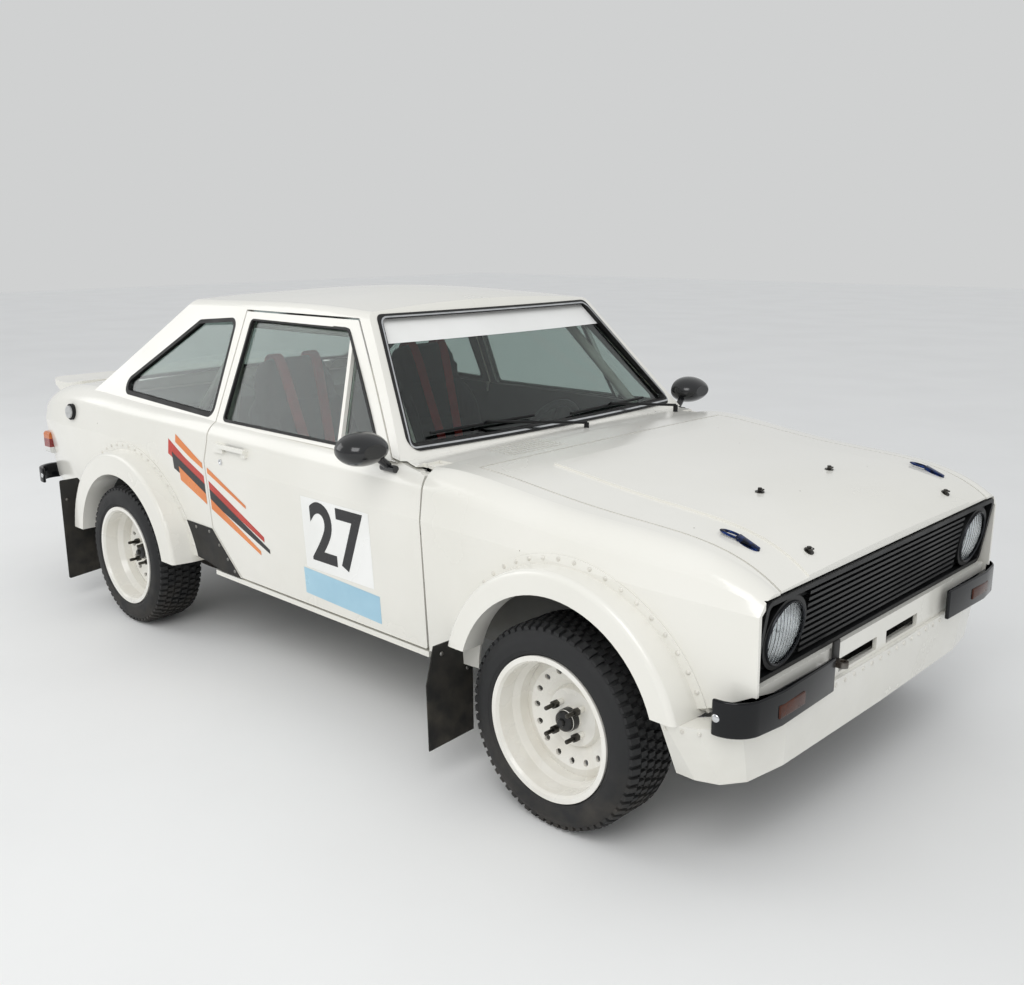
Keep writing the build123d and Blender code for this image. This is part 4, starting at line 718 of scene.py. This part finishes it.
def eased(source, name, width, material, body):
    """Copy of a CAD node with its sharp edges rolled over, which then stands for it."""
    made = skin_of(source)
    edit(lambda: bpy.ops.mesh.remove_doubles(threshold=0.00005),
         lambda: bpy.ops.mesh.dissolve_limited(angle_limit=math.radians(1.5)))
    bevelled(made, width, 3, limit_method="ANGLE", angle_limit=math.radians(50))
    settle(made, name, material, body, 50)
    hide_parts(source.name)


eased(nodes["quarter_bumpers"], "bumper_skins", 0.009, bumper_black, "body")

# Bumper lamps: dark amber indicator lenses let into the lower half of the front quarter
# bumpers, and a domed chrome bolt through each bumper's side end.
amber_lens = finish("amber_moulded_lens", "#4A200C", "#3B190A", 0.2, 0.02, 0.003, 0.00008,
                    Specular_IOR_Level=0.3)
for word, side in SIDES:
    lens = block((2.0070, side * 0.598, 0.484), (0.009, 0.124, 0.036))
    bevelled(lens, 0.0035, 3)
    settle(lens, f"indicator_lens_{word}", amber_lens, "body")
bolt_head = head(16, 0.011, 1, 0.4)
BUMPER_BOLTS = [(1.918, 0.800, 0.489), (-1.856, 0.796, 0.509)]
bumper_points = [(x, side * y, z) for side in (-1, 1) for x, y, z in BUMPER_BOLTS]
scattered(bolt_head, bumper_points, "bumper_bolts", chrome, "body")
bpy.data.objects.remove(bolt_head)

# Tow bracket: a plate of black painted steel 8 mm thick, bolted upright behind the front
# towing eye and standing in front of the panel's slot.
bracket = block((1.981, -0.330, 0.535), (0.008, 0.034, 0.070))
bevelled(bracket, 0.003, 2)
settle(bracket, "tow_bracket", chassis_paint, "body")


# Bonnet fastenings: two over-centre latches in blue-black anodised alloy with painted blue
# reflection in patches, each an open loop hooked under a lever, and four steel pins with ring
# clips on scuff plates. All are screwed on.
def top_z(name, x, y):
    """Height of a CAD node's top at a place in plan."""
    return nodes[name].ray_cast(Vector((x, y, 2.0)), Vector((0, 0, -1)))[1].z


# The blue patches that drift over the near-black base are painted reflection.
latch_alloy = finish("blue_black_anodised_alloy_and_painted_reflection", "#12151D", "#1C3A7C", 0.2, 0.02, 0.001,
                     0.00002, Metallic=0.75)
for word, side in SIDES:
    x, y = 1.818, side * 0.562
    foot = cylinder(32, 0.5, 1, (x + 0.026, y, 0.001))
    foot.scale = (0.060, 0.032, 0.003)
    bpy.ops.mesh.primitive_torus_add(major_radius=0.0115, minor_radius=0.0036, major_segments=32,
                                     minor_segments=10, location=(x - 0.022, y, 0.008))
    loop = bpy.context.object
    loop.scale = (2.6, 1.0, 1.0)
    lever = block((x + 0.024, y, 0.008), (0.060, 0.023, 0.012))
    for vertex in lever.data.vertices:
        if vertex.co.x > x + 0.04:
            vertex.co.z = 0.003 + (vertex.co.z - 0.003) * 0.35
            vertex.co.y = y + (vertex.co.y - y) * 0.75
    latch = joined([foot, loop, lever])
    bevelled(latch, 0.0025, 2, limit_method="ANGLE")
    for vertex in latch.data.vertices:
        vertex.co.z += top_z("bonnet", vertex.co.x, vertex.co.y)
    settle(latch, f"bonnet_latch_{word}", latch_alloy, "bonnet", 40)
PIN_PLACES = [(1.936, 0.425, 0.48), (1.656, 0.204, 0.07)]
for word, side in SIDES:
    for index, (x, out, lean) in enumerate(PIN_PLACES):
        y = side * out
        z = top_z("bonnet", x, y)
        plate = cylinder(28, 0.0135, 0.003, (x, y, z + 0.001), (0, lean, 0))
        pin = cylinder(16, 0.0060, 0.014, (x, y, z + 0.006))
        bpy.ops.mesh.primitive_torus_add(major_radius=0.0085, minor_radius=0.0015,
                                         major_segments=24, minor_segments=8,
                                         location=(x + 0.004, y, z + 0.008))
        settle(joined([plate, pin, bpy.context.object]), f"bonnet_pin_{word}_{index + 1}",
               stud_steel, "bonnet", 40)

# Door mirrors: flat silvered glass, cut to an oval and clipped into the rear of each moulded
# shell, behind a thin lip.
mirror_glass = finish("mirror_glass", "#C9CED2", "#C4C9CE", 0.04, 0.2, 0.01, 0.000005,
                      Metallic=1.0)


def inset_faces(obj, chosen, rim, then):
    """Inset the faces whose normals are chosen by a rim, then work on what is inside it."""
    bpy.ops.object.mode_set(mode="EDIT")
    bpy.ops.mesh.select_mode(type="FACE")
    bpy.ops.mesh.select_all(action="DESELECT")
    bpy.ops.object.mode_set(mode="OBJECT")
    for face in obj.data.polygons:
        face.select = chosen(face.normal)
    bpy.ops.object.mode_set(mode="EDIT")
    bpy.ops.mesh.inset(thickness=rim)
    then()
    bpy.ops.object.mode_set(mode="OBJECT")


for word, side in SIDES:
    pane = cylinder(40, 0.5, 1, (0.6368, side * 0.858, 0.985), (0, math.pi / 2, 0))
    bpy.ops.object.transform_apply(location=False, rotation=True, scale=False)
    pane.scale = (0.002, 0.132, 0.078)
    set_places()
    inset_faces(pane, lambda normal: normal.x < -0.9, 0.003,
                lambda: bpy.ops.transform.translate(value=(-0.0006, 0, 0)))
    settle(pane, f"mirror_pane_{word}", mirror_glass, f"door_{word}", 20)

# Door window trim: black rubber run set round the inside of each window opening, which
# holds the pane and shows as a dark line inside the white frame.
WINDOW = [(0.618, 0.941), (-0.306, 0.941), (0.290, 1.309), (-0.302, 1.313)]
GLASS_FOOT_Y, GLASS_FOOT_Z, GLASS_SLOPE, RUN_SINK = 0.742, 0.932, 0.410, 0.004
for word, side in SIDES:
    run = window_ring([(x, side, z) for x, z in WINDOW], 0.020, 4, 0.009, 5)
    edit(bpy.ops.mesh.quads_convert_to_tris)
    for vertex in run.data.vertices:
        out = GLASS_FOOT_Y - (vertex.co.z - GLASS_FOOT_Z) * GLASS_SLOPE
        vertex.co.y = side * (out - RUN_SINK)
    thicken(run, 0.012)
    settle(run, f"window_run_{word}", seal_rubber, f"door_{word}", 30)

# Seats: moulded competition buckets trimmed in black knitted cloth over foam, with raised
# wings at thigh and shoulder. Each is remeshed from its CAD form and softened. The knit's
# cells are drawn 8 mm apart, coarser than the real 2 mm, so that they show.
seat_cloth = finish("black_knitted_seat_cloth", "#1A1B1E", "#242529", 0.85, 0.08, 0.003, 0.0002,
                    Sheen_Weight=0.35, Sheen_Roughness=0.5)
relief(seat_cloth, "ShaderNodeTexVoronoi", "Distance", None, {"Scale": 130.0}, 0.00015)
SEAT_Y = 0.345
SEAT_HALF = 0.15
CUSHION_SEAMS = (0.02, 0.11)
BACK_SEAMS = (0.66, 0.82, 0.98)


def only_side(source, side):
    """Copy of a CAD node's half on one side of the car, merged into a clean shell."""
    made = skin_of(source)
    bpy.ops.object.mode_set(mode="EDIT")
    bpy.ops.mesh.select_mode(type="VERT")
    bpy.ops.mesh.select_all(action="DESELECT")
    bpy.ops.object.mode_set(mode="OBJECT")
    for vertex in made.data.vertices:
        vertex.select = vertex.co.y * side < 0
    bpy.ops.object.mode_set(mode="EDIT")
    bpy.ops.mesh.delete(type="VERT")
    bpy.ops.object.mode_set(mode="OBJECT")
    edit(lambda: bpy.ops.mesh.remove_doubles(threshold=0.0001))
    return made


for word, side in SIDES:
    pad = only_side(nodes["seats"], side)
    remesh = pad.modifiers.new("foam_skin", "REMESH")
    remesh.mode = "VOXEL"
    remesh.voxel_size = 0.010
    soften = pad.modifiers.new("soften", "SMOOTH")
    soften.factor = 0.6
    soften.iterations = 9
    settle(pad, f"seat_{word}", seat_cloth, "body", 60)
    for vertex in pad.data.vertices:
        x, y, z = vertex.co
        across = y - side * SEAT_Y
        if abs(across) < SEAT_HALF and z > 0.46:
            crown = 0.007 * math.cos(across / SEAT_HALF * math.pi / 2)
            offsets = []
            if z < 0.56 and x > -0.12:
                offsets += [x - seam for seam in CUSHION_SEAMS]
            if z > 0.58 and x < -0.15:
                offsets += [z - seam for seam in BACK_SEAMS]
            groove = sum(math.exp(-(offset / 0.006) ** 2) for offset in offsets)
            vertex.co = vertex.co + vertex.normal * (crown - 0.007 * groove)
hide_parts("seats")
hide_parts("seats")

# Harnesses: red polyester webbing 50 mm wide. Two shoulder straps run over each backrest
# and two lap straps in from the floor to a steel turn buckle.
webbing = finish("red_polyester_webbing", "#D62F27", "#C22820", 0.7, 0.05, 0.0015, 0.0003,
                 Sheen_Weight=0.3)
relief(webbing, "ShaderNodeTexWave", "Fac", {"bands_direction": "Y"},
       {"Scale": 90.0, "Distortion": 0.4}, 0.0006)
# Strap runs. Columns: x, distance inward or outward across the seat, z.
SHOULDER_RUN = [(-0.468, 0, 0.925), (-0.462, 0, 1.03), (-0.445, 0, 1.105), (-0.430, 0, 1.150),
                (-0.395, 0, 1.165), (-0.362, 0, 1.145), (-0.338, 0.006, 1.080),
                (-0.300, 0.014, 0.960), (-0.258, 0.026, 0.830), (-0.215, 0.038, 0.700),
                (-0.172, 0.050, 0.595), (-0.120, 0.056, 0.552), (-0.060, 0.060, 0.546)]
LAP_RUN = [(-0.165, 0.150, 0.640), (-0.140, 0.118, 0.575), (-0.110, 0.085, 0.552),
           (-0.070, 0.040, 0.546)]
SHOULDER_Y = 0.085


def strap(path, lean, width, name):
    """Flat strap along (x, y, z) stations, its width across the car but for a forward lean."""
    bpy.ops.mesh.primitive_grid_add(x_subdivisions=len(path) - 1, y_subdivisions=2, size=2)
    made = bpy.context.object
    rows = sorted({round(v.co.x, 5) for v in made.data.vertices})
    for vertex in made.data.vertices:
        x, y, z = path[rows.index(round(vertex.co.x, 5))]
        off = vertex.co.y * width / 2
        vertex.co = (x + off * lean, y + off * math.sqrt(1 - lean * lean), z)
    thicken(made, 0.0022)
    rounds = made.modifiers.new("soft_run", "SUBSURF")
    rounds.levels = 2
    rounds.render_levels = 2
    settle(made, name, webbing, "body", 60)


for word, side in SIDES:
    middle = side * SEAT_Y
    for index, hand in enumerate((-1, 1)):
        y = middle + hand * SHOULDER_Y
        strap([(x, y - hand * inward, z) for x, inward, z in SHOULDER_RUN], 0, 0.050,
              f"shoulder_strap_{word}_{index + 1}")
        strap([(x, middle + hand * outward, z) for x, outward, z in LAP_RUN], 0.75, 0.045,
              f"lap_strap_{word}_{index + 1}")
    buckle = cylinder(24, 0.030, 0.014, (-0.055, middle, 0.553))
    inset_faces(buckle, lambda normal: normal.z > 0.9, 0.008,
                lambda: bpy.ops.transform.translate(value=(0, 0, 0.005)))
    settle(buckle, f"harness_buckle_{word}", guard_steel, "body", 30)

# Steering wheel: a dished three-spoke wheel of pressed alloy on a bolted boss, its rim
# wrapped in black suede.
suede = finish("black_suede", "#19181A", "#252326", 0.9, 0.03, 0.0008, 0.0002, Sheen_Weight=0.4)
dress(["steering_wheel"], suede)

# Dials: three round instruments with black faces and chrome bezels, let into
# the cowl before the driver.
dial_face = finish("black_dial_face", "#101113", "#15161A", 0.4, 0.05, 0.002, 0.00002)
DIALS = [(0.305, 0.862, 0.048), (0.435, 0.862, 0.048), (0.370, 0.878, 0.026)]
DIAL_LEAN = math.radians(-73)
for index, (y, z, radius) in enumerate(DIALS):
    x = 0.4818 + (z - 0.800) * 0.30
    dial = cylinder(36, radius, 0.010)
    inset_faces(dial, lambda normal: normal.z > 0.9, 0.005,
                lambda: bpy.ops.transform.translate(value=(0, 0, -0.004)))
    for vertex in dial.data.vertices:
        px = vertex.co.x * math.cos(DIAL_LEAN) + vertex.co.z * math.sin(DIAL_LEAN)
        pz = -vertex.co.x * math.sin(DIAL_LEAN) + vertex.co.z * math.cos(DIAL_LEAN)
        vertex.co = (x + px, y + vertex.co.y, z + pz)
    settle(dial, f"dial_{index + 1}", chrome, "body", 30)
    dial.data.materials.append(dial_face)
    for face in dial.data.polygons:
        points = [dial.data.vertices[i].co for i in face.vertices]
        middle = sum(points, Vector()) / len(points)
        if (middle - Vector((x, y, z))).length < 0.006 and len(points) > 8:
            face.material_index = 1

# Tail lamps: moulded lenses, red outside and amber and clear toward the middle, with fine
# ribs, on the CAD lamp bodies.
red_lens = finish("red_moulded_lens", "#8E1512", "#7A1210", 0.14, 0.03, 0.0025, 0.0003,
                  Coat_Weight=0.5)
tail_tree = red_lens.node_tree
tail_height = split(tail_tree)["Z"]
cover(red_lens, maths(tail_tree, "GREATER_THAN", tail_height, 0.680), "#C5661E", 0.14)
cover(red_lens, maths(tail_tree, "LESS_THAN", tail_height, 0.640), "#D9D9D6", 0.14)
dress(["tail_lamps"], red_lens)

# Tail corners: pressed closing panels of the bodyshell, spot-welded inside the end of each
# rear quarter beside the boot lid, in the body's enamel.
CORNER_X = -1.8855
CORNER = [(0.6445, 0.7405), (0.7215, 0.7405), (0.7225, 0.7720), (0.7100, 0.8270),
          (0.6595, 0.8670), (0.6445, 0.8715)]
for word, side in SIDES:
    bpy.ops.mesh.primitive_circle_add(vertices=len(CORNER), radius=1, fill_type="NGON")
    corner = bpy.context.object
    for vertex, (y, z) in zip(corner.data.vertices, CORNER):
        vertex.co = (CORNER_X, side * y, z)
    thicken(corner, 0.002)
    settle(corner, f"tail_corner_{word}", enamel, "body", 30)

# Rear wheelhouses: pressed steel hoops with an inner face over the rear wheels, spot-welded to
# the boot floor and the quarter panel. They close the boot from the wheel, in shell paint.
HOOP_R = 0.364
HOOP_INNER_Y = 0.598
HOOP_STEPS = 36


def on_hoop(angle, y):
    """Point of a wheelhouse's arc at an angle in degrees from the front."""
    turn = math.radians(angle)
    return (REAR_ARCH[0] + HOOP_R * math.cos(turn), y, REAR_ARCH[1] + HOOP_R * math.sin(turn))


for word, side in SIDES:
    bpy.ops.mesh.primitive_grid_add(x_subdivisions=HOOP_STEPS, y_subdivisions=2, size=2)
    hoop = bpy.context.object
    for vertex in hoop.data.vertices:
        angle = 90 - 75 * vertex.co.x
        outer = 0.742 + 0.024 * math.sin(math.radians(angle))
        y = HOOP_INNER_Y + (outer - HOOP_INNER_Y) * (vertex.co.y + 1) / 2
        vertex.co = on_hoop(angle, side * y)
    bpy.ops.mesh.primitive_circle_add(vertices=HOOP_STEPS + 1, radius=1, fill_type="NGON")
    inner_face = bpy.context.object
    for index, vertex in enumerate(inner_face.data.vertices):
        vertex.co = on_hoop(15 + 150 * index / HOOP_STEPS, side * HOOP_INNER_Y)
    hoop = joined([hoop, inner_face])
    thicken(hoop, 0.0015)
    settle(hoop, f"rear_wheelhouse_{word}", shell_paint, "body", 40)

# Spoiler rivets and flap bolts: the same painted pop rivets along the top edge of the front
# spoiler, and three zinc bolts at the head of each mudflap.
dome = head(12, RIVET_R, 0, 0.6)
EDGE_Z = 0.436
edge_points = []
for step in range(-13, 14):
    y = step * RIVET_PITCH
    hit, point = nodes["front_spoiler"].ray_cast(Vector((2.2, y, EDGE_Z)),
                                                 Vector((-1, 0, 0)))[:2]
    if hit and point.x > 1.85:
        edge_points.append(tuple(point))
for side in (-1, 1):
    for x in (1.80, 1.84, 1.88, 1.91):
        y = surface_y("front_spoiler", x, EDGE_Z, side)
        if y is not None:
            edge_points.append((x, y, EDGE_Z))
scattered(dome, edge_points, "spoiler_rivets", rivet_metal, "body")
FLAP_BOLTS = [(1.0060, 0.790, 0.415), (1.0060, 0.850, 0.415), (1.0060, 0.745, 0.340),
              (-1.4570, 0.800, 0.500), (-1.4570, 0.800, 0.430), (-1.4570, 0.860, 0.470)]
flap_points = [(x, side * y, z) for side in (-1, 1) for x, y, z in FLAP_BOLTS]
scattered(dome, flap_points, "flap_bolts", guard_steel, "body")
bpy.data.objects.remove(dome)

# Door locks: chrome barrels, turned with a shallow recess, pressed through the skin of each
# door below its handle.
barrel = cylinder(24, 0.011, 0.008, turn=(math.pi / 2, 0, 0))
set_places()
inset_faces(barrel, lambda normal: abs(normal.y) > 0.9, 0.003,
            lambda: bpy.ops.mesh.extrude_region_shrink_fatten(
                TRANSFORM_OT_shrink_fatten={"value": -0.0025}))
LOCK_X, LOCK_Z = -0.262, 0.800
for word, side in SIDES:
    y = surface_y(f"door_{word}", LOCK_X, LOCK_Z, side)
    settle(twin(barrel, (LOCK_X, y, LOCK_Z), 1), f"door_lock_{word}", chrome, f"door_{word}", 30)
bpy.data.objects.remove(barrel)

# Floor, lamps and camera of the studio: a pale floor, a large soft lamp from the front right
# and a broad fill from the left, with the photograph's viewing angle.
bpy.ops.mesh.primitive_plane_add(size=60, location=(0, 0, 0))
floor = bpy.context.object
floor.name = "studio_floor"
floor.data.materials.append(finish("pale_floor_paint", "#EFEFED", "#ECECEA", 0.85, 1.0, 0.05,
                                   0.0001))
world = bpy.data.worlds.new("studio_sky")
bpy.context.scene.world = world
world.use_nodes = True
background = world.node_tree.nodes["Background"]
background.inputs["Color"].default_value = shade("#F2F4F7")
background.inputs["Strength"].default_value = 0.8
sky_tree = world.node_tree
rays = add_node(sky_tree, "ShaderNodeLightPath").outputs
seen = rays["Is Camera Ray"]
for kind in ("Is Glossy Ray", "Is Transmission Ray"):
    seen = maths(sky_tree, "MAXIMUM", seen, rays[kind])
plain = add_node(sky_tree, "ShaderNodeBackground", None,
                 {"Color": shade("#D0D1D1"), "Strength": 1.0})
either = add_node(sky_tree, "ShaderNodeMixShader", None, None,
                  {0: seen, 1: background.outputs["Background"], 2: plain.outputs["Background"]})
sky_tree.links.new(either.outputs["Shader"], sky_tree.nodes["World Output"].inputs["Surface"])


def softbox(name, place, target, size, power):
    """Square area lamp aimed at a point."""
    bpy.ops.object.light_add(type="AREA", location=place)
    lamp = bpy.context.object
    lamp.name = name
    lamp.data.size = size
    lamp.data.energy = power
    lamp.rotation_euler = (Vector(target) - Vector(place)).to_track_quat("-Z", "Y").to_euler()


softbox("key_lamp", (3.5, -5.0, 5.5), (0.2, 0, 0.6), 4.0, 175)
softbox("fill_lamp", (-5.5, -4.0, 3.5), (-0.3, 0, 0.6), 4.0, 75)

bpy.ops.object.camera_add(location=(3.20193, -2.83056, 1.61442))
camera = bpy.context.object
camera.name = "photograph_camera"
camera.rotation_mode = "QUATERNION"
camera.rotation_quaternion = (
    Euler((math.radians(90 - 13.58), 0, math.radians(43.88))).to_quaternion()
    @ Quaternion((0, 0, 1), math.radians(-0.31)))
camera.data.sensor_width = 36
camera.data.lens = 1070.03 / 1024 * 36
camera.data.clip_end = 200
bpy.context.scene.camera = camera
bpy.context.scene.view_settings.view_transform = "Standard"
